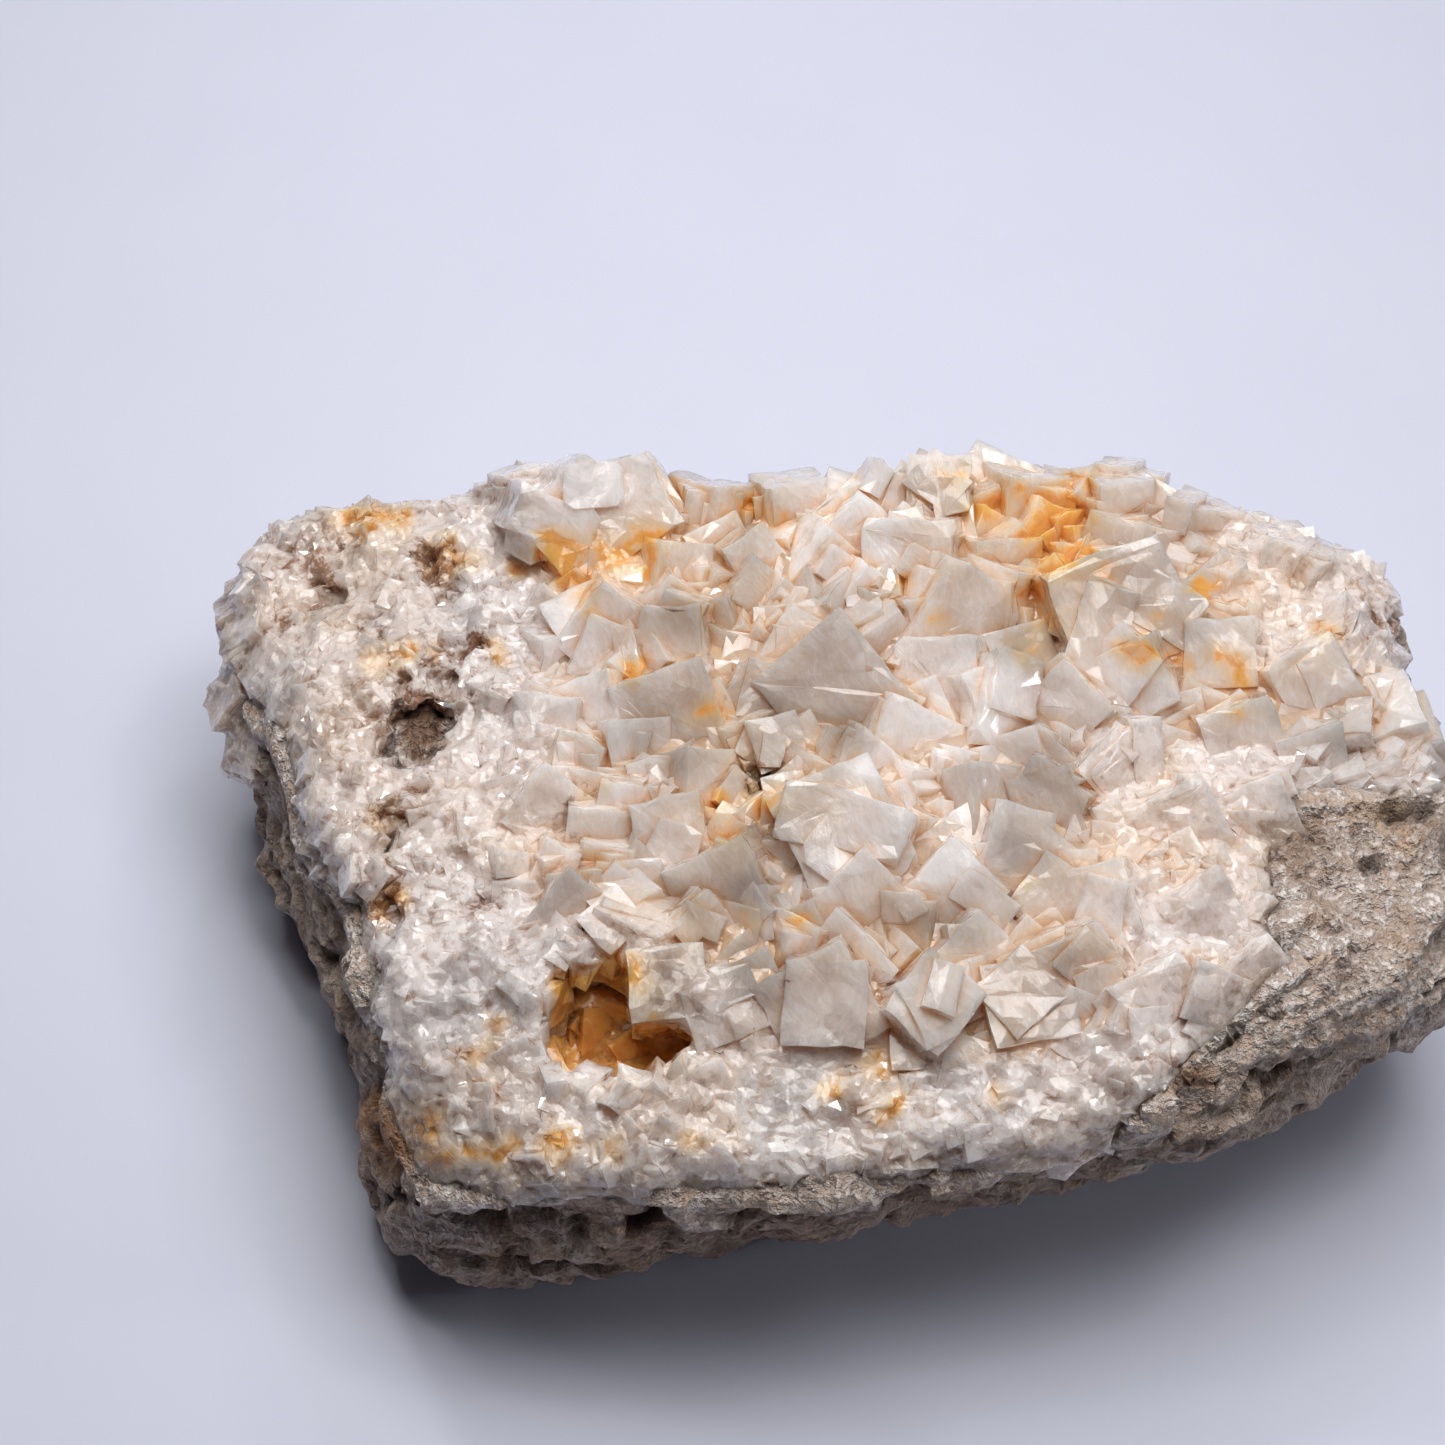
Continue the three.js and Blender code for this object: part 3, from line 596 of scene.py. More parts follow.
# %% [markdown]
# Iron runs in streaks and patches, and no plain noise puts them in the right places. So each
# pattern is a short table of soft round spots on the plane: x, y, radius and strength. Spots that
# overlap in a row make a streak.

# %% Where the patterns lie
STAINED_POCKET = (-20, -18.5, 8.5, 7.5)
RUST_SPOTS = [
    (-39, -32, 5, 0.55), (-10, 14, 3, 0.6), (-8, 8, 2.2, 0.6), (-10, 0, 2.4, 0.5), (-7, -9, 2.2, 0.5),
    (32, 24.5, 2, 0.5), (-38, -31, 3.4, 1), (-40, -28, 2.4, 0.8), (-34, -33, 2.4, 0.8),
    (-31, -32.4, 1.6, 0.9), (-24, -31.5, 1.8, 0.8), (-37, 21.6, 1.4, 0.7), (-39.5, 20.4, 1.4, 0.7),
    (-43, 19, 1.4, 0.6), (-30, -20, 1.4, 0.7), (0, -26, 2, 0.7), (5, -28, 1.8, 0.6), (24, 37, 2.6, 1),
    (18.5, 40, 2, 0.9), (26, 30, 1.8, 0.8), (-29.5, 31, 1.6, 0.6), (-21.5, 33.5, 2, 0.9),
    (-23, 26.5, 1.8, 0.6), (-25.5, 32, 3, 1), (-24, 29, 2.4, 0.9), (-26.5, 33.5, 1.6, 1),
    (-20, 31.5, 2.2, 1), (-17, 34, 2.2, 0.9), (-18.5, 30, 2.2, 0.8), (-7, 38, 2, 0.7), (-4, 37, 1.6, 0.7),
    (-18.5, 18.8, 1.6, 0.8), (-12, 13.4, 1.6, 0.8), (-8.5, 14, 1.6, 0.9), (22, 38, 3.2, 1),
    (21, 34, 2.8, 1), (22.5, 31, 2.6, 1), (24, 33, 2, 0.9), (19.5, 28, 2.2, 0.8), (21, 24.5, 2, 0.7),
    (12.8, 42.5, 1.6, 1), (15.5, 37.5, 2.4, 0.9), (24.5, 41, 2.2, 0.8), (7, 28.6, 1.4, 0.9),
    (10, 24.6, 1.5, 0.8), (36, 28.2, 1.6, 1), (29.5, 21, 2.6, 0.8), (38, 19, 2.6, 0.8),
    (33, 19.6, 1.8, 0.8), (47, 23.4, 1.8, 0.8), (38, 14.5, 1.2, 0.6), (3.5, -24, 1.6, 0.7),
    (4.5, -20, 1.4, 0.6), (13, -14, 1.2, 0.5), (-23, -17, 2.6, 1), (-19, -15, 3, 1), (-16, -21, 2.6, 0.9),
    (-31.5, 20.5, 1.6, 0.8), (-42, 20, 2.6, 0.5), (-45, 37, 3.4, 0.7), (-42, 36, 2.2, 0.6),
    (-36, 32, 3.2, 0.8), (-22, 5, 1.6, 0.7), (-22, -3, 1.4, 0.6), (-40, -7, 1.8, 0.9), (-41, 2, 1.8, 0.8),
    (-6, 4, 2.2, 0.8), (-3, -9, 1.6, 0.7), (-11, 4, 1.8, 0.8), (-12, -8, 1.4, 0.6), (19, 21, 2.6, 0.7),
    (-36.5, -30, 3.2, 0.9), (-29, -32, 2.4, 0.7), (-20, -31.5, 2, 0.6), (-13, -31, 1.8, 0.6),
    (17, -5, 2, 0.6), (-31, -22, 2, 0.5), (14, -27, 1.6, 0.5),
]
BROWN_SPOTS = [
    (-38, 15, 5, 0.55), (-35.5, 21, 3.5, 0.6), (-41, 3, 3.5, 0.6), (-40, -6, 3.5, 0.6), (-24, 3.5, 3, 0.5),
    (-48, 30, 4, 0.5), (-36.5, 31, 4, 0.45), (-38, -30.5, 4, 0.75), (-36, -34, 3, 0.5),
    (-39.5, 15.5, 3, 0.8), (-42.5, 13.5, 2.4, 0.6), (-40.5, 17.5, 1.8, 0.7), (-38, 9.5, 1.8, 0.7),
    (-43.5, 17, 1.6, 0.5), (-36, 17.5, 1.6, 0.8), (-35, 19.5, 1.4, 0.8), (-37.2, 30, 1.8, 0.8),
    (-38.8, 32.5, 1.8, 0.8), (-47.5, 30, 1.6, 0.9), (-50.5, 32, 1.6, 0.8), (-31.8, -8, 1.4, 0.8),
    (-23.3, 0.5, 1.6, 0.7), (-22.4, 4.8, 1.4, 0.6), (-51.5, 24, 1.6, 0.9), (-38.5, 13, 4, 1),
    (-37, 31.5, 2.8, 0.9), (-49, 31, 2.4, 0.9), (-46.3, 28.7, 1.6, 0.7), (-34, 22, 2, 0.8),
    (-36.8, 19.8, 1.6, 0.8), (-41, 2.4, 2, 1), (-40, -7.5, 1.8, 1), (-6.8, 7.5, 2.6, 1),
    (-12, 2.5, 1.6, 0.7), (19, 21.5, 2.6, 0.7), (17, -5.5, 2, 0.7), (-1.5, -18, 1.6, 0.8),
    (-4, -15.8, 1.2, 0.9), (31, -25.5, 2, 0.8), (-47, 33, 2.6, 0.5), (-43, 24, 2.2, 0.4), (49, 9.5, 2, 0.7),
    (53, 24, 3, 0.7),
]
WHITE_SPOTS = [
    (-24, 39, 7, 0.8), (-27, 22, 7, 0.6), (-33, 27, 5, 0.5), (-31, 12, 4, 0.4), (3, 36, 5, 0.9),
    (-3, 33, 4, 0.6), (14, 17, 5.5, 1), (10, 12, 4, 0.7), (10, -3, 3.6, 1), (4, 7, 4, 0.7),
    (-24, 3, 5, 0.4), (-31, -18, 7, 0.8), (-22, -28, 6, 0.7), (-6, -29, 6, 0.8), (10, -28, 7, 0.7),
    (34, -12, 9, 0.6), (38, 5, 7, 0.5), (-42, 24, 3, 0.5), (40, 33, 7, 0.4), (-36, -6, 6, 0.5),
    (26, -20, 7, 0.5),
]
WARM_SPOTS = [
    (-15, -16, 5, 1), (-10, 13, 5, 0.9), (-9, 1, 5, 0.8), (-10, -11, 5, 0.8), (21, 25, 6, 0.8),
    (31, 25, 5, 0.6), (42, 26, 6, 0.7), (10, -12, 6, 0.5), (20, -13, 6, 0.5), (-36, 13, 6, 0.6),
    (-24, -31, 5, 0.7), (-30, -38, 6, 0.8), (-18, -40, 6, 0.8), (-6, -38, 6, 0.8), (6, -36, 6, 0.8),
    (20, -32, 6, 0.7), (-14, -14, 5, 0.9), (-10, -10, 5, 0.7), (-19, -10, 5, 0.6), (-2, 10, 5, 0.4),
    (2, -8, 5, 0.4), (27, 27, 6, 0.5), (-30, -24, 6, 0.6), (-20, -27, 6, 0.7), (-8, -27, 7, 0.9),
    (4, -25, 6, 0.7), (-14, -24, 4, 0.8), (14, -22, 6, 0.5), (-42, 14, 9, 0.5), (-36, 2, 8, 0.5),
    (-48, 26, 8, 0.7), (-44, 34, 7, 0.8), (-30, 0, 7, 0.4), (12, 30, 7, 0.4), (-18, 35, 5, 0.9),
    (-10, 26, 8, 0.7), (-8, 38, 7, 0.7), (18, 36, 8, 0.8), (22, 26, 8, 0.5), (-20, -20, 7, 0.6),
    (-10, -21, 6, 0.7), (-4, 4, 8, 0.5), (42, 18, 8, 0.6), (-44, 25, 7, 0.6), (28, 0, 12, 0.4),
    (0, -24, 6, 0.5), (-30, 32, 5, 0.4), (30, 38, 8, 0.4), (-38, 4, 6, 0.3),
]
CLEAR_SPOTS = [
    (-15, -15.5, 5.5, 1), (-7.5, -14, 4, 0.8), (-7, -6, 3, 0.9), (-12.5, -7, 3, 0.6), (-12.5, 8.5, 3, 0.7),
    (-5, 12, 3.4, 0.5), (2, 11, 3, 0.7), (17, -2, 4, 0.6), (27, 29, 5, 0.4), (11, -10, 3, 0.7),
    (-14, 25, 3, 0.6), (-7.5, 34, 3, 0.6), (18, 21, 4, 0.6), (-17, 12, 3.5, 0.6), (46, 12, 7, 0.4),
    (20, 9, 5, 0.5), (-8, -1, 3, 0.5), (-1, -13.5, 4, 0.4), (-55, 24, 5, 0.5), (33, 22, 3, 0.5),
    (-20, -18, 5, 0.5),
]
GRIT_SPOTS = [
    (-38, -31, 6, 1), (-50, 2, 8, 0.4), (-52, 12, 8, 0.4), (-45, 11, 6, 0.75), (-41, 18, 5, 0.45),
    (-40, 4, 5, 0.5), (-43, 9, 5, 0.8), (-41, 2, 4, 0.7), (-44, 16, 4, 0.7), (-37, 5, 3, 0.5),
    (-36, -4, 4, 0.5), (-47, 27, 5, 0.6), (-33, 14, 4, 0.4), (-32, 20, 3, 0.4), (-12, 3, 3, 0.4),
    (-8, 12, 3, 0.4), (16, -9, 3, 0.4), (2, -22, 4, 0.3), (-50, 32, 4, 0.4), (-31, 3, 3, 0.3),
    (-23, 2, 3, 0.3), (-25, -39, 5, 0.5), (20, -26, 6, 0.4), (52, 28, 5, 0.6), (54, 20, 4, 0.4),
    (-52, 33, 5, 0.8), (-44, 39, 4, 0.7), (-55, 28, 4, 0.6), (-48, 36, 4, 0.8), (-52, 25, 3, 0.6),
    (-47, 31, 3, 0.6), (24, -27, 5, 0.6), (36, -12, 4, 0.5), (46, 2, 4, 0.6), (42, -8, 6, 0.7),
    (50, -8, 9, 1), (58, -4, 8, 0.8), (50, -16, 7, 0.8), (38, -19, 6, 0.9), (30, -24, 6, 0.6),
    (60, -10, 6, 0.5), (-40, -34, 4, 0.5), (-33, -40, 6, 0.6), (-52, 4, 3, 0.3), (-30, -35, 4, 0.6),
]
spot_tables = (RUST_SPOTS, BROWN_SPOTS, WHITE_SPOTS, WARM_SPOTS, CLEAR_SPOTS, GRIT_SPOTS)
print("spots of rust, brown, white, warm, clear and grit:", [len(table) for table in spot_tables])

# %% [markdown]
# Round spots alone would look like round spots, so noise frays their borders and speckles them. One
# function gives the shares of all the patterns for whole arrays of points. The stain of the pocket
# comes from its own oval, and dirt and frost from the height over the seam.

# %% The share of each pattern
def patterns(points):
    """The share of each pattern for points in millimetres, with the borders frayed by noise.

    Share = strongest spot + noise, kept between 0 and 1. The pocket adds rust and brown inside it.
    Low and frost follow the height over the seam between crust and rock.
    """
    at = sight(points)
    frayed = at + 0.9 * noise_vectors(points, 2.6, 2, (5, 8))
    rough = layered_noise(points, 1.6, 2, 2)
    x, y, z = points.T
    over_seam = z - seam_height(x, y) + 1.3 * layered_noise(points, 3.2, 3, 15)
    in_pocket = rise(1.0, 2.6, field_height(x, y) - z) * rise(1.35, 1.05, in_oval(x, y, STAINED_POCKET))
    shares = {
        "rust": in_spots(frayed, RUST_SPOTS) * (1.15 + 0.5 * rough) - 0.1 + 0.7 * in_pocket,
        "brown": in_spots(frayed, BROWN_SPOTS) * (1.1 + 0.4 * rough) - 0.05 + 0.25 * in_pocket,
        "white": in_spots(frayed, WHITE_SPOTS) + 0.25 * layered_noise(points, 5, 2, 3),
        "warm": in_spots(frayed, WARM_SPOTS) + 0.3 * layered_noise(points, 7, 2, 4),
        "clear": in_spots(at, CLEAR_SPOTS) + 0.25 * layered_noise(points, 6, 2, 6),
        "grit": in_spots(frayed, GRIT_SPOTS) + 0.3 * layered_noise(points, 3, 2, 12),
        "sugar": calm_share(points),
        "low": rise(3.2, 0.6, over_seam),
        "frost": rise(-4.0, -0.5, over_seam),
    }
    return {name: np.clip(share, 0, 1) for name, share in shares.items()}


in_the_pocket = np.array([[-20.0, -18.0, 24.0]])
print("rust deep in the pocket:", patterns(in_the_pocket)["rust"].round(2))

# %% [markdown]
# The rock and the crust start from copies of the frame's own solids, so they sit exactly where the
# collision model has them. Each copy has its loose triangles merged, is remeshed into an even skin
# of cells of about half a millimetre, and its points are then moved along their normals by noise. A
# plain Displace modifier could do this too, but arrays can also read the place of each point, so
# that the resting face stays flat and the ledges follow the bedding.

# %% An even skin over a copy of a solid
def even_skin(node, cell):
    """A merged copy of a frame node, remeshed into cells of the given size in millimetres."""
    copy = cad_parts[node].data.copy()
    weld = ("WELD", {"merge_threshold": 1e-6})
    remesh = ("REMESH", {"mode": "VOXEL", "voxel_size": cell * MM})
    skin = with_modifiers(copy, [weld, remesh])
    skin.materials.clear()
    for layer in [a for a in skin.attributes if not a.is_required and not a.is_internal]:
        skin.attributes.remove(layer)
    return skin


def move_points(mesh, offset):
    """Moves every point of a mesh by its row of offset, in millimetres."""
    set_points(mesh, vectors_of(mesh.vertices, "co") + offset * MM)


def move_outwards(mesh, distance):
    """Moves every point of a mesh along its normal by its own distance, in millimetres."""
    move_points(mesh, vectors_of(mesh.vertex_normals, "vector") * distance[:, None])


def smooth_points(mesh, rounds, share=1.0):
    """Evens a mesh: each round moves every point half its share of the way to its neighbours' mean."""
    a, b = corners_of(mesh.edges, 2).T
    points = vectors_of(mesh.vertices, "co")
    count = np.bincount(a, minlength=len(points)) + np.bincount(b, minlength=len(points))
    for _ in range(rounds):
        total = np.zeros_like(points)
        for k in range(3):
            total[:, k] = np.bincount(a, points[b, k], len(points))
            total[:, k] += np.bincount(b, points[a, k], len(points))
        points = points + 0.5 * share * (total / count[:, None] - points)
    set_points(mesh, points)


solids = {name: len(node.data.polygons) for name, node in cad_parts.items()}
print("faces of the plain solids:", solids)

# %% [markdown]
# The host rock is a granular, bedded matrix that broke out of its vein along rough faces. Four
# moves make its skin: lumps of a millimetre or two, ledges that follow the bedding, pores that are
# pushed in where a sharp noise is high, and a broken groove under the crust in front. Near the crust
# the moves are damped, so that crust and rock meet without a dark gap, and the resting face keeps
# its level. In the large pit on the left the rock is lifted to make a rough floor.

# %% The broken rock
ROCK_CELL = 0.6
PIT_X, PIT_Y, PIT_DEPTH = -38.5, 13, 2.6
rock_mesh = even_skin("host_rock", ROCK_CELL)
smooth_points(rock_mesh, 2)
rock_at = layout_points(rock_mesh)
upward = vectors_of(rock_mesh.vertex_normals, "vector")[:, 2] > 0.1
rock_lumps = 1.0 * layered_noise(rock_at, 4.5, 4, 1) + 0.45 * layered_noise(rock_at, 1.5, 2, 3)
bedding = rock_at * np.array([0.22, 0.22, 1.0]) + 0.1 * rock_at[:, [0, 0, 0]] * np.array([0, 0, 1])
rock_ledges = 1.1 * layered_noise(bedding, 3.0, 3, 6)
rock_pits = -1.6 * rise(0.3, 0.8, layered_noise(rock_at, 3.0, 2, 9))
foot_calm = rise(0.2, 2.0, rock_at[:, 2])
under_seam = seam_height(rock_at[:, 0], rock_at[:, 1]) - rock_at[:, 2]
seam_calm = rise(0.5, 3.5, under_seam)
groove = rise(0.6, 1.6, under_seam) * rise(5.5, 3.5, under_seam) * rise(-14, -20, rock_at[:, 1])
groove *= rise(-0.1, 0.35, layered_noise(rock_at, 5.5, 3, 27))
rock_move = rock_lumps + rock_ledges + rock_pits
rock_move = np.where(rock_move < 0, rock_move * seam_calm, rock_move) + 0.7 * (1 - seam_calm) - 2.2 * groove
move_outwards(rock_mesh, rock_move * foot_calm)

rock_at = layout_points(rock_mesh)
x, y, z = rock_at.T
pit_floor = field_height(x, y) - PIT_DEPTH + 0.9 * layered_noise(rock_at, 1.4, 3, 33)
lift = np.maximum(pit_floor - z, 0) * rise(5.4, 4.4, np.hypot(x - PIT_X, y - PIT_Y)) * upward
move_points(rock_mesh, lift[:, None] * np.array([0, 0, 1]))
lowest = layout_points(rock_mesh)[:, 2].min()
print("rock skin:", len(rock_mesh.vertices), "points, lowest", lowest.round(3), "mm")

# %% [markdown]
# The crust between the large crystals is sugary fluorite: grains of a millimetre with flat, broken
# facets. Noise alone gives soft hills, so after the moves a decimation joins its small triangles
# into flat facets, which glitter as sugar grains do.

# %% The sugary crust
CRUST_CELL = 0.45
CRUST_SHARE = 0.33
crust_mesh = even_skin("fluorite_crust", CRUST_CELL)
smooth_points(crust_mesh, 1)
smooth_points(crust_mesh, 25, calm_share(layout_points(crust_mesh))[:, None])
crust_at = layout_points(crust_mesh)
calm = calm_share(crust_at)
stained = patterns(crust_at)["brown"]
# Sunk a little between the large cubes; lumps; finer sugar on calm ground; pits where brown has
# eaten in; and swollen where the skin faces down, to close the seam over the rock.
crust_move = -0.45 + 0.45 * calm + (0.4 - 0.05 * calm) * layered_noise(crust_at, 2.6, 3, 2)
crust_move += 0.3 * calm * layered_noise(crust_at, 1.1, 2, 14)
crust_move -= stained * (0.8 + 1.5 * layered_noise(crust_at, 1.6, 3, 17)) * rise(24, 28, crust_at[:, 2])
crust_move += 0.9 * rise(-0.2, -0.7, vectors_of(crust_mesh.vertex_normals, "vector")[:, 2])
move_outwards(crust_mesh, crust_move)
crust_mesh = with_modifiers(crust_mesh, [("DECIMATE", {"ratio": CRUST_SHARE})])
crust_at = layout_points(crust_mesh)
print("crust skin:", len(crust_mesh.vertices), "points")

# %% [markdown]
# The largest crystals are placed one by one: each row gives x and y, the edge, how far the centre
# is lifted over the field, azimuth, lean and spin, and how much of each corner is cut. Three more
# tables, with x, y, z, edge, azimuth, lean and spin, hold the greyer cluster low on the left, the
# cubes that overhang the pocket, and the rusty cubes inside it.

# %% The crystals placed one by one
LARGE_CRYSTALS = np.array([
    [-25, 37, 10, -2.6, -60, 38, 20, 0.22], [-18.5, 38, 9, -2.4, -110, 30, 50, 0.22],
    [-21, 25, 8.2, -2.2, -80, 50, 45, 0], [-14, 23.5, 6.8, -1.8, -120, 44, 30, 0],
    [-7.5, 32.5, 5.4, -1.4, -60, 40, 10, 0], [-14.5, 15.5, 9, -2.6, -100, 40, 25, 0],
    [-6, 16, 5.2, -1.4, -70, 30, 60, 0], [-5, 10.6, 5, -0.4, -80, 28, 8, 0],
    [-12.5, 7, 6, -1.6, -30, 42, 40, 0], [-14.5, 1.5, 6.4, -2, -100, 30, 20, 0],
    [-9.4, -3.6, 8, -2.4, -110, 46, 40, 0], [-12.5, -8.6, 5, -1.6, -60, 35, 10, 0],
    [-6.6, -7.6, 5, -2, -140, 40, 50, 0], [-7.6, -15.4, 6, -2.2, -80, 24, 12, 0],
    [0.4, 17.6, 11, -3.2, -92, 36, 42, 0], [3, 35, 7.4, -2, -70, 44, 30, 0.2],
    [8.4, 32.6, 7.8, -2, -110, 42, 15, 0.2], [11.4, 26, 9.4, -2.6, -60, 46, 38, 0.18],
    [11, 40.2, 5.6, -0.6, -95, 20, 4, 0], [5, 39.4, 5.4, -1.2, -70, 40, 30, 0],
    [27, 26.6, 11.6, -3.4, -78, 30, 10, 0.08], [16.4, 28.4, 6.4, -2, -140, 45, 20, 0],
    [36.8, 22, 6.8, -1.4, -92, 34, 4, 0], [45, 19.6, 7.6, -2.2, -70, 34, 14, 0],
    [15.6, 15.4, 9, -2.8, -40, 40, 35, 0.15], [11, 19, 7.4, -2.2, -120, 38, 25, 0.15],
    [1.2, 0.8, 11, -3, -95, 30, 30, 0.24], [2.6, -6, 8, -2.6, -85, 42, 40, 0],
    [11, -4.4, 7.2, -2, -90, 36, 45, 0], [7, -8.4, 4.6, -1.4, -120, 40, 20, 0],
    [16.6, -1.6, 7.6, -2, -70, 34, 38, 0.2], [12, -11.6, 5.8, -1.8, -60, 36, 20, 0],
    [8, -17, 7.2, -1, -66, 30, 30, 0], [-1, -15.4, 8.4, -2.6, -100, 40, 38, 0],
    [2.4, 9, 5.4, -1.6, -60, 44, 30, 0], [21.6, -12.4, 7.2, -2.4, -80, 40, 20, 0.15],
    [25, -5.6, 6.6, -2.2, -120, 38, 40, 0.1], [28.4, -15.4, 7.4, -3, -70, 36, 12, 0.15],
    [32, 3.4, 7.4, -2.4, -90, 40, 30, 0.15], [26.6, 8.6, 7.2, -2.4, -60, 42, 20, 0.1],
    [33.4, -6.6, 6.8, -2.4, -100, 34, 40, 0.15], [38, 12.6, 7, -2.2, -80, 40, 10, 0.15],
    [-5.6, -22.6, 6.6, -3.6, -90, 40, 20, 0.24], [8.4, -23.4, 6.4, -4, -80, 38, 30, 0.24],
    [17.4, -23.2, 6.2, -3.8, -100, 40, 10, 0.24], [-13.6, -25.4, 6, -3.8, -90, 42, 30, 0.24],
    [-28.6, 40, 6, -2, 100, 40, 20, 0], [-11.6, 38.6, 5.6, -1.8, 80, 40, 20, 0],
    [-3.4, 39.6, 6, -1.8, 100, 36, 10, 0], [19, 40.6, 6, -2, 80, 40, 30, 0],
    [28, 39.6, 6.4, -2, 90, 38, 20, 0], [36, 37.6, 6, -2, 70, 40, 40, 0],
    [44.6, 33, 6.6, -2.2, 60, 38, 20, 0.1], [39.6, 4, 6.6, -2.4, -100, 38, 30, 0],
    [37, -13.2, 6.8, -2.8, -70, 40, 20, 0.15], [20.6, 5, 6.4, -2.2, -120, 40, 40, 0],
    [-26.8, 4.6, 6.4, -2.4, -60, 42, 30, 0], [-26, 13.6, 6.6, -2.4, -110, 40, 10, 0],
    [-24, -6, 6.2, -2.4, -80, 44, 40, 0],
])
SIDE_CRYSTALS = np.array([
    [-55, 29.8, 23.6, 6.4, 170, 44, 30], [-55.4, 25.4, 20.4, 6.6, 190, 50, 10],
    [-56.2, 33.6, 22, 5.6, 150, 40, 50], [-56.6, 30, 18.4, 5.6, 180, 70, 20],
    [-54.6, 20.6, 18.6, 5.8, 200, 56, 40], [-52.6, 24.2, 25, 5.4, 200, 36, 20],
])
OVERHANG_CRYSTALS = np.array([[-14.8, -14.6, 31.6, 7, -90, 22, 6], [-10.2, -16.8, 31.4, 6, -80, 30, 12]])
POCKET_CRYSTALS = np.array([
    [-22.6, -17.4, 21.6, 4.8, 20, 40, 30], [-17.4, -15.6, 22.4, 5.4, -60, 44, 10],
    [-14.8, -19.6, 21.8, 4.6, 180, 36, 40], [-19.4, -21.2, 19.8, 5, 100, 30, 20],
    [-21.8, -14.8, 24.2, 4.4, -40, 50, 50],
])
FRONT_ROW_Y = -21
rng = np.random.default_rng(11)


def sides(edge, seeds):
    """Half widths of slightly unequal sides: half the edge times 0.9 to 1.1."""
    share = np.stack([chance(seeds, k, 5) for k in range(3)], 1)
    return 0.5 * edge[:, None] * (0.9 + 0.2 * share)


def placed_crystals(middle, edge, angles, corner, first_seed):
    """Crystals at the given middles, with edges, rows of azimuth, lean and spin, and corner cuts."""
    half = sides(edge, first_seed + np.arange(len(edge)))
    return make_crystals(middle, half, crystal_turns(*angles.T), corner, rng)


x, y, edge, lift = LARGE_CRYSTALS.T[:4]
in_front = y < FRONT_ROW_Y
middle = np.column_stack([x, y, field_height(x, y) + (lift - np.where(in_front, 0.5, 0.0))])
edge = edge * np.where(in_front, 0.6, 1.0)
heroes = placed_crystals(middle, edge, LARGE_CRYSTALS[:, 4:7], LARGE_CRYSTALS[:, 7], 0)
side_cubes, over_cubes, pocket_cubes = (
    placed_crystals(rows[:, :3], rows[:, 3], rows[:, 4:], 0, first_seed)
    for rows, first_seed in ((SIDE_CRYSTALS, 300), (OVERHANG_CRYSTALS, 400), (POCKET_CRYSTALS, 500)))
groups = {"on top": heroes, "side": side_cubes, "overhang": over_cubes, "pocket": pocket_cubes}
print("placed crystals:", {name: len(group["corner"]) for name, group in groups.items()})

# %% [markdown]
# Between the large crystals stand smaller cubes on a jittered hexagonal grid. The jitter, size and
# turn of each come from the repeatable chance of its grid place, so the grid doesn't show. A closed
# line round the top says how far the druse reaches.

# %% The fill between them
CRYSTAL_SPACING = 7.8
FILL_CUBE = 7.0
FILL_POCKET = (-19.4, -18.8, 9.5, 8.5)
TOP_X, TOP_Y = -1, 6
OUTLINE = np.array([
    [57, -6.4], [56, 6], [56.2, 13], [53, 20], [54.5, 27.5], [50.5, 35], [38, 40.5], [26, 42.5],
    [10, 42.6], [-1, 41.8], [-11, 40.2], [-21, 42.3], [-31, 42], [-40, 42.8], [-48.8, 43.6],
    [-56.2, 40.6], [-57.6, 33], [-54.4, 25], [-50.6, 17.5], [-48.8, 9], [-47, 2], [-43, -3.2],
    [-40.8, -10], [-39.8, -18], [-37.5, -24.5], [-33.5, -28.5], [-28, -30], [-21, -31], [-11.5, -31.6],
    [-3, -31.2], [6, -29.8], [20, -28], [32, -25.6], [42.4, -19.4], [51.6, -13.8],
])
edge_angle = np.arctan2(OUTLINE[:, 1] - TOP_Y, OUTLINE[:, 0] - TOP_X)
edge_reach = np.hypot(OUTLINE[:, 0] - TOP_X, OUTLINE[:, 1] - TOP_Y)
order = np.argsort(edge_angle)


def share_of_top(x, y):
    """How far a place lies towards the top's edge: 0 in the middle, 1 on the edge."""
    angle = np.arctan2(y - TOP_Y, x - TOP_X)
    reach = np.interp(angle, edge_angle[order], edge_reach[order], period=2 * np.pi)
    return np.hypot(x - TOP_X, y - TOP_Y) / reach


i, j = (v.ravel() for v in np.meshgrid(np.arange(-13, 14), np.arange(-8, 11), indexing="ij"))
x = (i + 0.5 * (j & 1) + 0.7 * (chance(i, j, 1) - 0.5)) * CRYSTAL_SPACING
y = 4 + j * CRYSTAL_SPACING * math.sqrt(3) / 2 + 0.7 * (chance(i, j, 2) - 0.5) * CRYSTAL_SPACING
kept = (share_of_top(x, y) < 0.93) & (on_bare_ground(x, y) < 0.1)
kept &= (in_oval(x, y, FILL_POCKET) >= 1) & (x >= -31)
for large_x, large_y, edge in LARGE_CRYSTALS[:, :3]:
    kept &= np.hypot(x - large_x, y - large_y) >= 0.64 * edge
i, j, x, y = i[kept], j[kept], x[kept], y[kept]
edge = FILL_CUBE * (0.72 + 0.48 * chance(i, j, 3))
sink = np.maximum.reduce([rise(-18, -24, x), rise(-17, -22, y), rise(20, 26, x) * rise(14, 9, y)])
middle = np.column_stack([x, y, field_height(x, y) - (0.36 + 0.18 * sink) * edge])
middle[:, 2] -= 0.22 * edge * calm_share(middle)
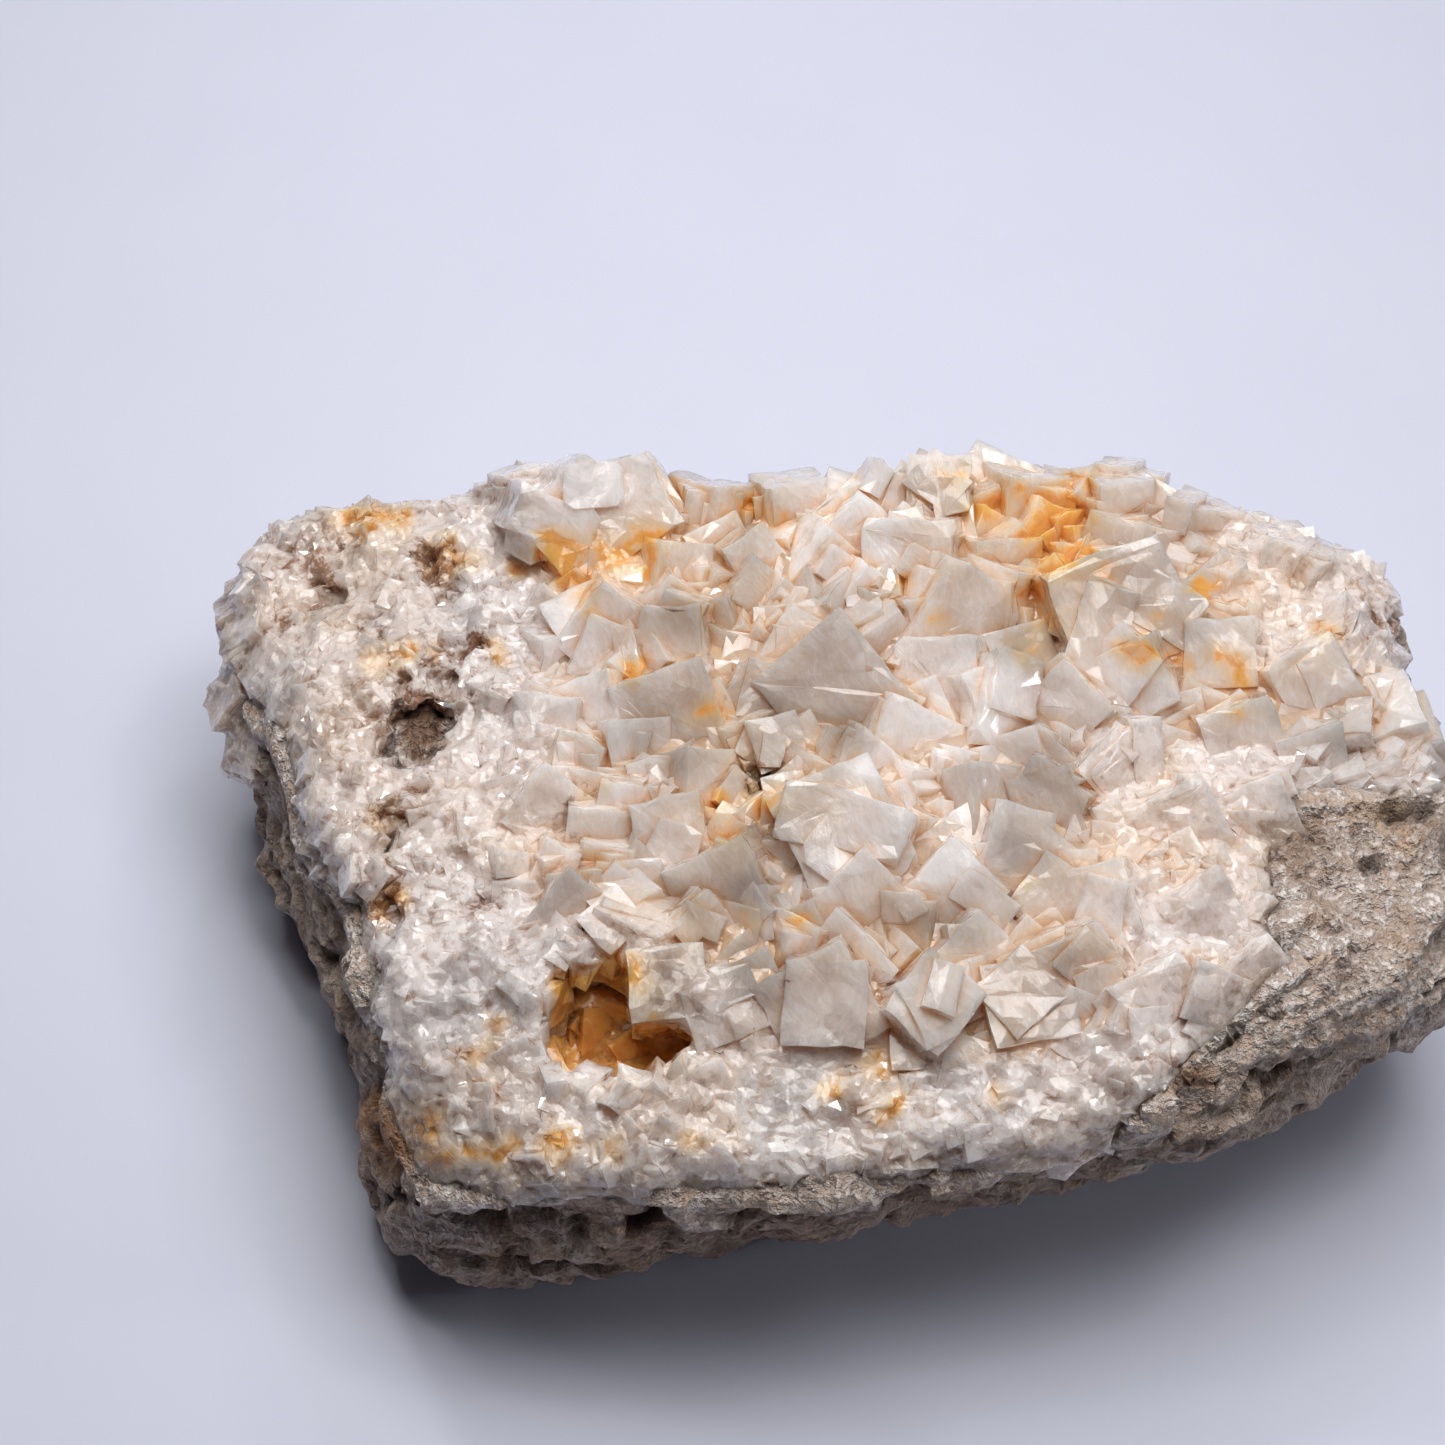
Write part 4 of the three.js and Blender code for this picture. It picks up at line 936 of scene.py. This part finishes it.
turn = crystal_turns(360 * chance(i, j, 4), 15 + 45 * chance(i, j, 6), 90 * chance(i, j, 7))
fillers = make_crystals(middle, sides(edge, 40 * i + j), turn, 0, rng)
print("fill crystals:", len(x))

# %% [markdown]
# Fluorite rarely grows as one perfect block. A large crystal is a mosaic of nearly parallel blocks,
# so its faces are stepped. Each large crystal gets a few companions with almost the same turn,
# shifted by part of its width.

# %% Companion blocks
def small_turns(count, spread, rng):
    """Turn matrices a few degrees away from none, about random axes."""
    return crystal_turns(rng.uniform(0, 360, count), rng.normal(0, spread, count), np.zeros(count))


def companions(parents, each, smallest, rng):
    """Blocks with smallest to 0.9 times each parent's widths, shifted inside its turned frame.

    They stand out of the parent by 0.8 mm at most.
    """
    parents = chosen(parents, np.repeat(np.arange(len(parents["corner"])), each))
    half = parents["half"] * rng.uniform(smallest, 0.9, parents["half"].shape)
    shift = rng.uniform(-1, 1, half.shape) * (parents["half"] + 0.8 - half)
    centre = parents["centre"] + np.einsum("cij,cj->ci", parents["turn"], shift)
    turn = parents["turn"] @ small_turns(len(half), 5, rng)
    return make_crystals(centre, half, turn, parents["corner"] * 0.8, rng)


HERO_BLOCKS, FILL_BLOCKS, SIDE_BLOCKS, POCKET_BLOCKS = 4, 2, 3, 5
hero_blocks = companions(heroes, HERO_BLOCKS, 0.4, rng)
fill_blocks = companions(fillers, FILL_BLOCKS, 0.45, rng)
side_blocks = companions(side_cubes, SIDE_BLOCKS, 0.4, rng)
print("companion blocks:", sum(len(blocks["corner"]) for blocks in (hero_blocks, fill_blocks, side_blocks)))

# %% [markdown]
# The gaps are filled the way a druse fills them: seeds all over the crust, each a cube half sunk in
# its bed. Seeds are drawn by area from the triangles of the crust's skin, so that they are as
# close together on the flanks as on top.

# %% Seeds on the crust
crust_mesh.calc_loop_triangles()
corners = corners_of(crust_mesh.loop_triangles, 3)


def seeds_on_crust(count, rng):
    """Random places on the crust by area, with their outward normals, where the face isn't downward."""
    a, b, c = (crust_at[corners[:, k]] for k in range(3))
    cross = np.cross(b - a, c - a)
    area = 0.5 * np.linalg.norm(cross, axis=1)
    weight = area * (cross[:, 2] > -0.2 * 2 * area)
    picked = rng.choice(len(area), count, p=weight / weight.sum())
    a, b, c = a[picked], b[picked], c[picked]
    u, v = rng.uniform(size=(2, count, 1))
    flip = u + v > 1
    u, v = np.where(flip, 1 - u, u), np.where(flip, 1 - v, v)
    return a + u * (b - a) + v * (c - a), cross[picked] / (2 * area[picked][:, None])


print("triangles for seeds:", len(corners))

# %% [markdown]
# Most seeds take the turn of the nearest larger crystal, as parallel growth does, and the rest lie
# at random. Seeds inside a larger crystal are dropped, because nothing of them would show. The
# middling cubes come first, and the small ones between them last.

# %% Cubes from the seeds
MIDDLING_SEEDS, SMALL_SEEDS = 2800, 3600


def random_turns(count, rng):
    """Turn matrices spread evenly over all directions."""
    lean = np.degrees(np.arccos(rng.uniform(-1, 1, count)))
    return crystal_turns(rng.uniform(0, 360, count), lean, rng.uniform(0, 360, count))


def nearest_turns(place, parents, rng):
    """The turn of the nearest of the parents, a few degrees off."""
    away = ((place[:, None, :] - parents["centre"][None]) ** 2).sum(2)
    return parents["turn"][away.argmin(1)] @ small_turns(len(place), 4, rng)


def within_rim(crystals, limit):
    """Leaves out the crystals in front that would stand out past the rim of the top."""
    reach = SIGNS * crystals["half"][:, None]
    corner = crystals["centre"][:, None] + np.einsum("cij,ckj->cki", crystals["turn"], reach)
    behind = crystals["centre"][:, 1] >= -8
    return chosen(crystals, behind | (share_of_top(corner[..., 0], corner[..., 1]).max(1) < limit))


def druse(count, sizes, calm_sizes, sink, calm_sink, around, clear_of, fullness, alike, rng):
    """Cubes on the crust. Sizes are the least and greatest edges, and sink the depths in shares of them.

    In the calm parts their own sizes and depths hold, and cubes are skewed further out of square, so
    that only low facets show. Places inside the cubes around, shrunk by clear_of, are left out.
    Fullness is the share of seeds that grow outside the calm parts, and alike the share of those
    that take the turn of their neighbour.
    """
    place, normal = seeds_on_crust(count, rng)
    free = ~is_inside(place, around, clear_of)
    place, normal = place[free], normal[free]
    share = calm_share(place)
    strayed = place + 2.2 * noise_vectors(place, 5, 3, (41, 42, 43))
    free = (on_bare_ground(strayed[:, 0], strayed[:, 1]) < 0.5) & (share * patterns(place)["brown"] < 0.3)
    free &= rng.uniform(size=len(place)) < fullness + (1 - fullness) * share
    place, normal, share = place[free], normal[free], share[free]
    size = rng.beta(1.4, 2.4, len(place))
    edge = (1 - share) * (sizes[0] + np.ptp(sizes) * size)
    edge += share * (calm_sizes[0] + np.ptp(calm_sizes) * size)
    half = 0.5 * edge[:, None] * rng.uniform(0.8, 1.2, (len(edge), 3))
    depth = (1 - share) * rng.uniform(*sink, len(edge)) + share * rng.uniform(*calm_sink, len(edge))
    centre = place - normal * (edge * depth)[:, None]
    parallel = rng.uniform(size=len(edge)) < alike + (0.4 - alike) * share
    beside = nearest_turns(place, around, rng)
    loose = random_turns(len(edge), rng)
    turn = np.where(parallel[:, None, None], beside, loose)
    skew = (0.04 + 0.06 * share)[:, None, None] * rng.normal(0, 1, (len(edge), 3, 3)).clip(-1.5, 1.5)
    return make_crystals(centre, half, turn @ (np.eye(3) + skew), 0, rng)


placed = together(heroes, fillers, side_cubes, over_cubes)
middling = druse(
    MIDDLING_SEEDS, sizes=(3.2, 8.2), calm_sizes=(1.6, 3.8), sink=(0.4, 0.66), calm_sink=(0.62, 0.78),
    around=placed, clear_of=-0.1, fullness=1.0, alike=0.75, rng=rng)
middling = within_rim(middling, 1.03)
small = druse(
    SMALL_SEEDS, sizes=(1.5, 3.0), calm_sizes=(0.7, 1.7), sink=(0.25, 0.5), calm_sink=(0.5, 0.68),
    around=together(placed, middling), clear_of=-0.2, fullness=0.7, alike=0.7, rng=rng)
print("druse:", len(middling["corner"]), "middling and", len(small["corner"]), "small crystals")

# %% [markdown]
# Crystals that have grown into each other are one solid, so the crust and all its crystals are
# joined with the Manifold boolean. It wants operands that don't cross themselves, so the crystals
# are dealt into batches in which no two touch, largest first, and each batch is one operand. The
# join also clears away everything hidden inside, and light can then travel through the whole druse
# as it does through the real one.

# %% Joining the druse
def crystal_mesh(crystals):
    """A mesh of crystals, plain and cut ones together, with each one's tone on its faces."""
    points, faces, tones, start = [], [], [], 0
    for is_cut in (False, True):
        some = chosen(crystals, (crystals["corner"] > 0) == is_cut)
        if len(some["corner"]):
            p, f = crystal_mesh_arrays(some, is_cut)
            points.append(p)
            faces.append(f + start)
            tones.append(np.repeat(some["tone"], len(f) // len(some["corner"])))
            start += len(p)
    mesh = mesh_from("crystals", to_metres(np.concatenate(points)), np.concatenate(faces))
    paint(mesh, {"tone": np.concatenate(tones)}, "FACE")
    return mesh


def batches(crystals):
    """Deals crystals into batches in which no two come closer than their bounding spheres."""
    reach = 1.15 * np.linalg.norm(crystals["half"], axis=1)
    dealt = []
    for n in np.argsort(-reach, kind="stable"):
        for batch in dealt:
            away = np.linalg.norm(crystals["centre"][batch] - crystals["centre"][n], axis=1)
            if (away > reach[batch] + reach[n]).all():
                batch.append(n)
                break
        else:
            dealt.append([n])
    return dealt


def joined(mesh, crystals):
    """The union of a mesh with all the crystals, one batch after another."""
    for batch in batches(crystals):
        other = in_scene("batch", crystal_mesh(chosen(crystals, np.sort(batch))))
        union = ("BOOLEAN", {"operation": "UNION", "solver": "MANIFOLD", "object": other})
        mesh = with_modifiers(mesh, [union])
        bpy.data.objects.remove(other)
    return mesh


print("batches of placed crystals:", [len(batch) for batch in batches(placed)])

# %% [markdown]
# Every crystal of the druse is slightly more or less milky than its neighbour. A colour for each
# could be a material for each, but one number on its faces is enough: a repeatable chance from its
# place in the table, with companion blocks close to their parent. The crust between the crystals
# gets a negative number where it is a bed between large cubes, and the finish makes that a darker
# brown: partly iron stain, partly painted shade for the recess.

# %% Tones and the whole druse
def toned(crystals, salt, each=0):
    """The crystals with a repeatable tone each, pale in the calm parts.

    Companion blocks, each of them to a parent, take the tone of their parent, a little off.
    """
    number = np.arange(len(crystals["corner"]))
    if each:
        tone = 0.85 * chance(number // each, salt, 9) + 0.15 * chance(number, salt, 2)
    else:
        tone = chance(number, salt, 9)
    return {**crystals, "tone": np.maximum(tone, 0.75 * calm_share(crystals["centre"]))}


on_top = together(
    toned(heroes, 1), toned(hero_blocks, 1, HERO_BLOCKS),
    toned(fillers, 2), toned(fill_blocks, 2, FILL_BLOCKS))
whole = together(
    within_rim(on_top, 1.0), toned(side_cubes, 3), toned(side_blocks, 3, SIDE_BLOCKS),
    toned(over_cubes, 4), toned(middling, 5), toned(small, 6))
face_middles = to_layout(vectors_of(crust_mesh.polygons, "center"))
# A negative tone marks the bed between large cubes, which the finish darkens to brown: partly iron stain,
# partly painted shade.
paint(crust_mesh, {"tone": 0.8 - 1.8 * rise(0.6, 0.2, calm_share(face_middles))}, "FACE")
druse_mesh = joined(crust_mesh, whole)
druse_mesh.calc_loop_triangles()
print("joined druse:", len(druse_mesh.loop_triangles), "triangles")

# %% [markdown]
# The patterns are painted on points, and a large crystal face has points only at its corners. So
# every edge over a couple of millimetres is halved, twice over, until the faces can carry a stain
# that covers only part of them. The new points then shift a quarter of a millimetre at most, which
# gives the large faces the faint unevenness of growth.

# %% Points for the patterns
def finer(mesh, longest, rounds):
    """Splits every edge longer than the given millimetres, so that large faces can carry patterns."""
    shape = bmesh.new()
    shape.from_mesh(mesh)
    bmesh.ops.triangulate(shape, faces=shape.faces)
    for _ in range(rounds):
        long_edges = [e for e in shape.edges if e.calc_length() > longest * MM]
        bmesh.ops.subdivide_edges(shape, edges=long_edges, cuts=1)
        bmesh.ops.triangulate(shape, faces=shape.faces)
    shape.to_mesh(mesh)
    shape.free()
    mesh.update()


def paint_patterns(mesh):
    """Paints the patterns at every point of a mesh."""
    paint(mesh, patterns(layout_points(mesh)))


finer(druse_mesh, 2.4, 2)
move_points(druse_mesh, 0.26 * noise_vectors(layout_points(druse_mesh), 1.9, 2, (61, 62, 63)))
paint_patterns(druse_mesh)
print("druse points with patterns:", len(druse_mesh.vertices))

# %% [markdown]
# The small open pocket is a hollow in which crystals had room to grow inwards. Water that ran
# through it left iron, so its lining is orange-brown and darker than the rest. It is made as the
# druse is: a skin over its solid, and a few cubes with their companions joined to it.

# %% The pocket
POCKET_CELL = 0.4
pocket_mesh = even_skin("pocket_crystals", POCKET_CELL)
move_outwards(pocket_mesh, -0.2 + 0.2 * layered_noise(layout_points(pocket_mesh), 2, 2, 4))
pocket_blocks = companions(pocket_cubes, POCKET_BLOCKS, 0.4, rng)
paint(pocket_mesh, {"tone": np.full(len(pocket_mesh.polygons), 0.5)}, "FACE")
pocket_set = together(toned(pocket_cubes, 7), toned(pocket_blocks, 7, POCKET_BLOCKS))
pocket_mesh = joined(pocket_mesh, pocket_set)
finer(pocket_mesh, 1.2, 2)
paint_patterns(pocket_mesh)
print("pocket points with patterns:", len(pocket_mesh.vertices))

# %% [markdown]
# The rock is a mix of brown matrix, pale quartz and fluorite grit and iron-stained patches. One
# texture can't show all of them, so the colour is built in layers, from the widest to the finest:
# blotches of ground colour, tan patches, grains, dark specks, painted grit and stains, and last a
# painted shade, nearly black, in the hollows that ambient occlusion finds. A cell pattern tilts the
# normal of each grain.

# %% The rock's finish
paint_patterns(rock_mesh)
rock = Finish("granular_rock")
coarse = rock.ramp(rock.noise(0.006, 4, 0.6), 0.35, 0.65)
grain = rock.ramp(rock.noise(0.0008, 3, 0.7), 0.36, 0.64)
speck = rock.ramp(rock.noise(0.0022, 4, 0.7), 0.54, 0.64)
tan = rock.ramp(rock.noise(0.0045, 3, 0.6), 0.50, 0.66)
frost = rock.ramp(rock.painted("frost") + rock.noise(0.0016, 4, 0.7), 0.75, 1.25)
pale_grit = rock.colour_mix(grain, (0.56, 0.43, 0.35), (0.97, 0.90, 0.86))
pale_grit = rock.colour_mix(tan * 0.7, pale_grit, (0.62, 0.42, 0.30))
ground = rock.layered(rock.colour_mix(coarse, (0.30, 0.18, 0.12), (0.66, 0.52, 0.435)), [
    (tan * 0.7, (0.55, 0.36, 0.21)),
    (grain * 0.5, (0.68, 0.58, 0.51)),
    (rock.painted("warm") * 0.7, (0.42, 0.24, 0.15)),
    (speck * 0.6, (0.09, 0.06, 0.045)),
    ((rock.painted("grit") * 0.85 + frost * 0.55).clipped(), pale_grit),
    (rock.ramp(rock.painted("rust"), 0.1, 0.8) * 0.8, (0.50, 0.24, 0.10)),
    (rock.ramp(rock.painted("brown"), 0.2, 0.8) * 0.8, (0.27, 0.13, 0.065)),
    # Painted shade: the colour goes nearly black in the hollows that ambient occlusion finds.
    (rock.ramp(rock.hollow(0.0025), 0.25, 0.65) * 0.85, (0.06, 0.035, 0.02)),
])
leaned = rock.tilted(rock.normal(), rock.cells(rock.place, 0.0009), 0.5)
rock_finish = rock.surface(rock.principled({
    "Base Color": ground, "Roughness": 0.7,
    "Normal": rock.bump(grain * 0.5 + coarse, 0.0008, 0.9, leaned)}))

# %% [markdown]
# Fluorite is clear where it grew slowly and milky where it holds tiny bubbles, and iron has crept
# into its joints. A picture wrapped round it could carry all this, but noises and painted shares
# stay sharp at any distance. First come the noises: cells that stand for the blocks inside a
# crystal, streaks that run a different way in each cell, and flecks and crumbs of sugar.

# %% The fluorite's noises
def fluorite_noises(made):
    """Veil, grain, streak, mottle, fleck and crumbs.

    The cells and streaks are read at strayed places, place + wide noise * 2.4 mm, so that they run
    unevenly. A streak is a noise squeezed along one axis, which is turned about each cell's colour.
    """
    drift = made.node("ShaderNodeTexNoise", {}, {"Vector": made.place, "Scale": 1 / 0.004}, "Color")
    strayed = {0: drift, 1: (0.0024, 0.0024, 0.0024), 2: made.place}
    place = made.node("ShaderNodeVectorMath", {"operation": "MULTIPLY_ADD"}, strayed)
    veil = made.cells(place, 0.0026)
    turned = made.node("ShaderNodeVectorRotate", {}, {"Vector": place, "Axis": veil, "Angle": 1.3})
    fibre = made.node("ShaderNodeVectorMath", {"operation": "MULTIPLY"}, {0: turned, 1: (1.0, 1.0, 0.14)})
    return SimpleNamespace(
        veil=veil, grain=made.cells(place, 0.0008),
        streak=made.node("ShaderNodeTexNoise", {}, {"Vector": fibre, "Scale": 1 / 0.0005, "Detail": 3}),
        mottle=made.ramp(made.noise(0.0030, 3, 0.6), 0.35, 0.65),
        fleck=made.ramp(made.noise(0.0006, 3, 0.65), 0.50, 0.66),
        crumbs=made.noise(0.0009, 4, 0.7))


# %% [markdown]
# Next comes where each colour lies. The painted shares say it for whole regions, the noises break
# their borders up, and ambient occlusion finds the joints between crystals, which honey-coloured
# and rusty water has stained.

# %% Where the fluorite's colours lie
def fluorite_shares(made, noises, rust_bias, grime):
    """How much of each colour there is at a place, from 0 to 1, by name."""
    sugar, tone, warm, grit, rust, brown = (
        made.painted(name) for name in ("sugar", "tone", "warm", "grit", "rust", "brown"))
    joint = made.hollow(0.0014)
    crease = made.ramp(joint, 0.4, 0.75)
    patchy = made.ramp(made.noise(0.005) + warm * 0.25 - sugar * 0.15, 0.44, 0.6)
    rusty = rust + joint * 0.3 + made.noise(0.0018, 4, 0.7) * 1.2 + (rust_bias - 0.6)
    low = (made.painted("low") + grit * 0.8) * grime + noises.crumbs * 1.6 - 0.8
    return SimpleNamespace(
        sugar=sugar, tone=tone, warm=warm, crease=crease,
        white=made.ramp(made.painted("white") + noises.mottle * 0.2, 0.25, 1.0),
        # The bed between large cubes: partly iron stain, partly painted shade for the recess.
        bed=made.ramp(tone, -0.1, -0.7),
        honey=(made.ramp(joint, 0.25, 0.7) * (patchy * 0.6 + 0.35)).clipped(),
        amber=(crease * (patchy * 0.7 + 0.15)).clipped(),
        grey=(sugar * 0.6 - warm * 0.45).clipped() * grime,
        grit=(grit * sugar * (grime * 0.6)).clipped(),
        speck=made.ramp(noises.crumbs, 0.49, 0.64) * sugar * (grime * 0.55),
        golden=made.ramp(rust + rust_bias, 0.05, 0.5),
        rust=made.ramp(rusty, 0.42, 0.85),
        brown=made.ramp(brown + joint * 0.8 + sugar * 0.3 + noises.crumbs * 2.2 - 1.5, 0.42, 0.7),
        dirt=made.ramp(low, 0.35, 0.8) * 0.62)


# %% [markdown]
# The colours are laid over each other as rust and dirt came over the growing crystals: first the
# pale ones, then veils and streaks, then the beds with their stain and painted shade, then what lies
# in the joints, then sugar, rust, brown and dirt.

# %% The fluorite's colour
def fluorite_colour(made, noises, shares, pale_low, pale_high, warm):
    """The base colour: pale_low to pale_high with each crystal's tone, then the layers over it."""
    earth = made.colour_mix(noises.fleck, (0.25, 0.115, 0.055), (0.50, 0.30, 0.18))
    dirt = made.colour_mix(noises.fleck, (0.46, 0.32, 0.23), (0.82, 0.72, 0.63))
    paleness = (shares.tone * 0.8 + noises.veil * 0.15 + noises.mottle * 0.15).clipped()
    return made.layered(made.colour_mix(paleness, pale_low, pale_high), [
        (shares.warm * 0.7, warm),
        (shares.white * 0.8, (0.885, 0.86, 0.87)),
        (noises.fleck * 0.3, (0.93, 0.88, 0.885)),
        (made.ramp(noises.streak, 0.54, 0.62) * 0.35, (0.96, 0.93, 0.94)),
        (made.ramp(noises.streak, 0.44, 0.36) * 0.16, (0.64, 0.53, 0.46)),
        # Darker brown in the beds: partly iron stain, partly painted shade.
        (shares.bed * 0.8, (0.50, 0.34, 0.23)),
        (shares.honey, (0.86, 0.60, 0.34)),
        (shares.amber, (0.66, 0.31, 0.07)),
        (shares.grey, (0.74, 0.68, 0.67)),
        (shares.grit, (0.56, 0.46, 0.41)),
        (shares.speck, (0.60, 0.48, 0.42)),
        (shares.golden * 0.65, (0.90, 0.66, 0.40)),
        (shares.rust * 0.95, (0.84, 0.42, 0.10)),
        ((shares.rust * shares.crease).clipped(), (0.48, 0.19, 0.04)),
        (shares.brown * 0.9, earth),
        (shares.dirt, dirt),
    ])


# %% [markdown]
# Two shaders are mixed. The clear one is plain transmission with fluorite's index of refraction.
# The milky one scatters light under its surface, which lights the crystals from inside, and has a
# glossy coat over it. Tilted cells in the normals stand for cleavage and growth steps: strong ones
# under the coat, weak ones on the clear faces. The pocket's finish is the same with more rust.

# %% The fluorite's two finishes
FLUORITE_IOR = 1.434


def fluorite_finish(name, rust_bias, grime, pale_low, pale_high, warm, milk, depth):
    """Clear and milky fluorite mixed by the painted patterns, with rust in the joints.

    Rust_bias adds rust everywhere, and grime is the share of grey and dirt in the sugary parts.
    Milk is the least share of the milky shader, and depth how far light goes in it, in metres.
    """
    made = Finish(name)
    noises = fluorite_noises(made)
    shares = fluorite_shares(made, noises, rust_bias, grime)
    pale = fluorite_colour(made, noises, shares, pale_low, pale_high, warm)

    outer = made.tilted(made.normal(), noises.grain, shares.sugar * 0.45 + 0.05)
    outer = made.bump(made.noise(0.0012, 3, 0.6), 0.00006, 0.5, outer)
    inner = made.tilted(made.normal(), noises.veil, shares.sugar * 0.4 + 0.18)
    inner = made.tilted(inner, noises.grain, shares.sugar * 0.35 + 0.16)
    inner = made.bump(made.noise(0.0014, 4, 0.65) + noises.streak, 0.00018, 0.5, inner)

    clear = made.principled({
        "Base Color": made.colour_mix(0.6, pale, (1.0, 0.95, 0.88)), "Roughness": 0.08,
        "IOR": FLUORITE_IOR, "Transmission Weight": 1.0, "Normal": outer})
    milky = made.principled({
        "Base Color": pale, "Roughness": 0.10, "IOR": FLUORITE_IOR, "Normal": inner,
        "Subsurface Weight": 0.85, "Subsurface Radius": (1.0, 0.92, 0.87), "Subsurface Scale": depth,
        "Coat Weight": 1.0, "Coat Roughness": 0.04, "Coat IOR": FLUORITE_IOR})
    share = made.ramp(shares.tone, 0.0, 0.4) * 0.2 - made.painted("clear") * 0.55 + shares.white * 0.3
    share = share + shares.sugar * 0.3 + shares.bed * 0.8 + shares.rust * 0.3 + shares.brown + milk
    mixed = made.node("ShaderNodeMixShader", {}, {0: share.clipped(), 1: clear, 2: milky})
    return made.surface(mixed)


druse_finish = fluorite_finish(
    "milky_fluorite", rust_bias=0.0, grime=1.0, pale_low=(0.86, 0.725, 0.65),
    pale_high=(0.89, 0.825, 0.805), warm=(0.88, 0.65, 0.44), milk=0.68, depth=0.0035)
pocket_finish = fluorite_finish(
    "rusty_fluorite", rust_bias=0.2, grime=0.0, pale_low=(0.70, 0.33, 0.10),
    pale_high=(0.90, 0.58, 0.28), warm=(0.72, 0.34, 0.09), milk=0.6, depth=0.0012)
for finish in (rock_finish, druse_finish, pocket_finish):
    print(finish.name, "has", len(finish.node_tree.nodes), "nodes")

# %% [markdown]
# Each finished mesh rides on the body that carries it, and takes the place of the plain solid.

# %% The pieces
add_piece("broken_rock", rock_mesh, rock_finish, "host_rock")
add_piece("druse", druse_mesh, druse_finish, "fluorite_crust")
add_piece("pocket_crystals_rusty", pocket_mesh, pocket_finish, "pocket_crystals")

# %% [markdown]
# The specimen stands on pale, faintly mottled paper. It is stage, so it isn't part of the model.

# %% The paper
paper = Finish("pale_paper")
cloudy = paper.ramp(paper.noise(0.02, 3), 0.3, 0.7)
tint = paper.colour_mix(cloudy, (0.68, 0.705, 0.845), (0.69, 0.715, 0.855))
FLOOR_REACH = 2.0
floor_corners = FLOOR_REACH * np.array([[-1, -1, 0], [1, -1, 0], [1, 1, 0], [-1, 1, 0]])
floor_mesh = mesh_from("floor", floor_corners, [[0, 1, 2, 3]])
floor_mesh.materials.append(paper.surface(paper.principled({"Base Color": tint, "Roughness": 0.6})))
floor = in_scene("floor", floor_mesh)
print("paper:", 2 * FLOOR_REACH, "m wide")

# %% [markdown]
# The light is one broad soft window overhead and a little behind, in a dim, cool room. Small lamps
# stand in for the bright points of a studio, which make crystal faces glint, and a low reflector
# opens the shadow on the right.

# %% The light
world = bpy.data.worlds.new("studio")
bpy.context.scene.world = world
world.use_nodes = True
background = world.node_tree.nodes["Background"].inputs
background["Color"].default_value = (0.84, 0.88, 1.0, 1)
background["Strength"].default_value = 0.02


def soft_light(name, place, target, size, power, colour):
    """A rectangular area light in metres and watts that faces a target."""
    lamp = bpy.data.lights.new(name, "AREA")
    lamp.shape = "RECTANGLE"
    lamp.size, lamp.size_y = size
    lamp.energy = power
    lamp.color = colour
    light = in_scene(name, lamp)
    light.location = place
    aim = np.array(target) - np.array(place)
    lean = math.acos(-aim[2] / np.linalg.norm(aim))
    light.rotation_euler = (lean, 0, math.atan2(aim[1], aim[0]) - math.pi / 2)
    return lamp


soft_light("window", (0.03, 0.055, 0.36), (0, 0.01, 0.02), (0.32, 0.18), 1.05, (1.0, 0.98, 0.965))
soft_light("panel", (0.0, 0.30, 0.36), (0, 0.01, 0.02), (0.40, 0.14), 0.22, (0.98, 0.98, 1.0))
soft_light("lamp", (-0.10, 0.20, 0.34), (0, 0.01, 0.03), (0.04, 0.04), 0.16, (1.0, 0.98, 0.96))
glint_places = [(0.14, 0.06, 0.38), (-0.03, 0.24, 0.22), (-0.12, 0.10, 0.38), (0.08, 0.22, 0.30)]
for number, place in enumerate(glint_places):
    soft_light(f"glint_{number}", place, (0, 0.01, 0.03), (0.02, 0.02), 0.05, (1.0, 1.0, 1.0))
wall = soft_light("wall", (0.45, -0.06, 0.16), (0.062, -0.024, 0), (0.10, 0.10), 0.006, (0.96, 0.97, 1.0))
wall.spread = math.radians(16)
print("lamps:", sorted(lamp.name for lamp in bpy.data.lights))

# %% [markdown]
# A long lens looks down at 55 degrees, so that the near and the far end keep nearly one scale.

# %% The camera
SENSOR_WIDTH = 36
FOCAL_PIXELS, PICTURE_PIXELS = 3638, 1445
CAMERA_DISTANCE = 0.340
CAMERA_ELEVATION = math.radians(55)
CAMERA_TARGET = np.array([-0.0102, 0.0083, 0.032])
camera = bpy.data.cameras.new("camera")
camera.sensor_width = SENSOR_WIDTH
camera.lens = SENSOR_WIDTH * FOCAL_PIXELS / PICTURE_PIXELS
viewer = in_scene("camera", camera)
away = np.array([0, -math.cos(CAMERA_ELEVATION), math.sin(CAMERA_ELEVATION)])
viewer.location = CAMERA_TARGET + CAMERA_DISTANCE * away
viewer.rotation_euler = (math.pi / 2 - CAMERA_ELEVATION, 0, 0)
bpy.context.scene.camera = viewer
bpy.context.scene.view_settings.view_transform = "Standard"
print("camera lens:", round(camera.lens, 1), "mm")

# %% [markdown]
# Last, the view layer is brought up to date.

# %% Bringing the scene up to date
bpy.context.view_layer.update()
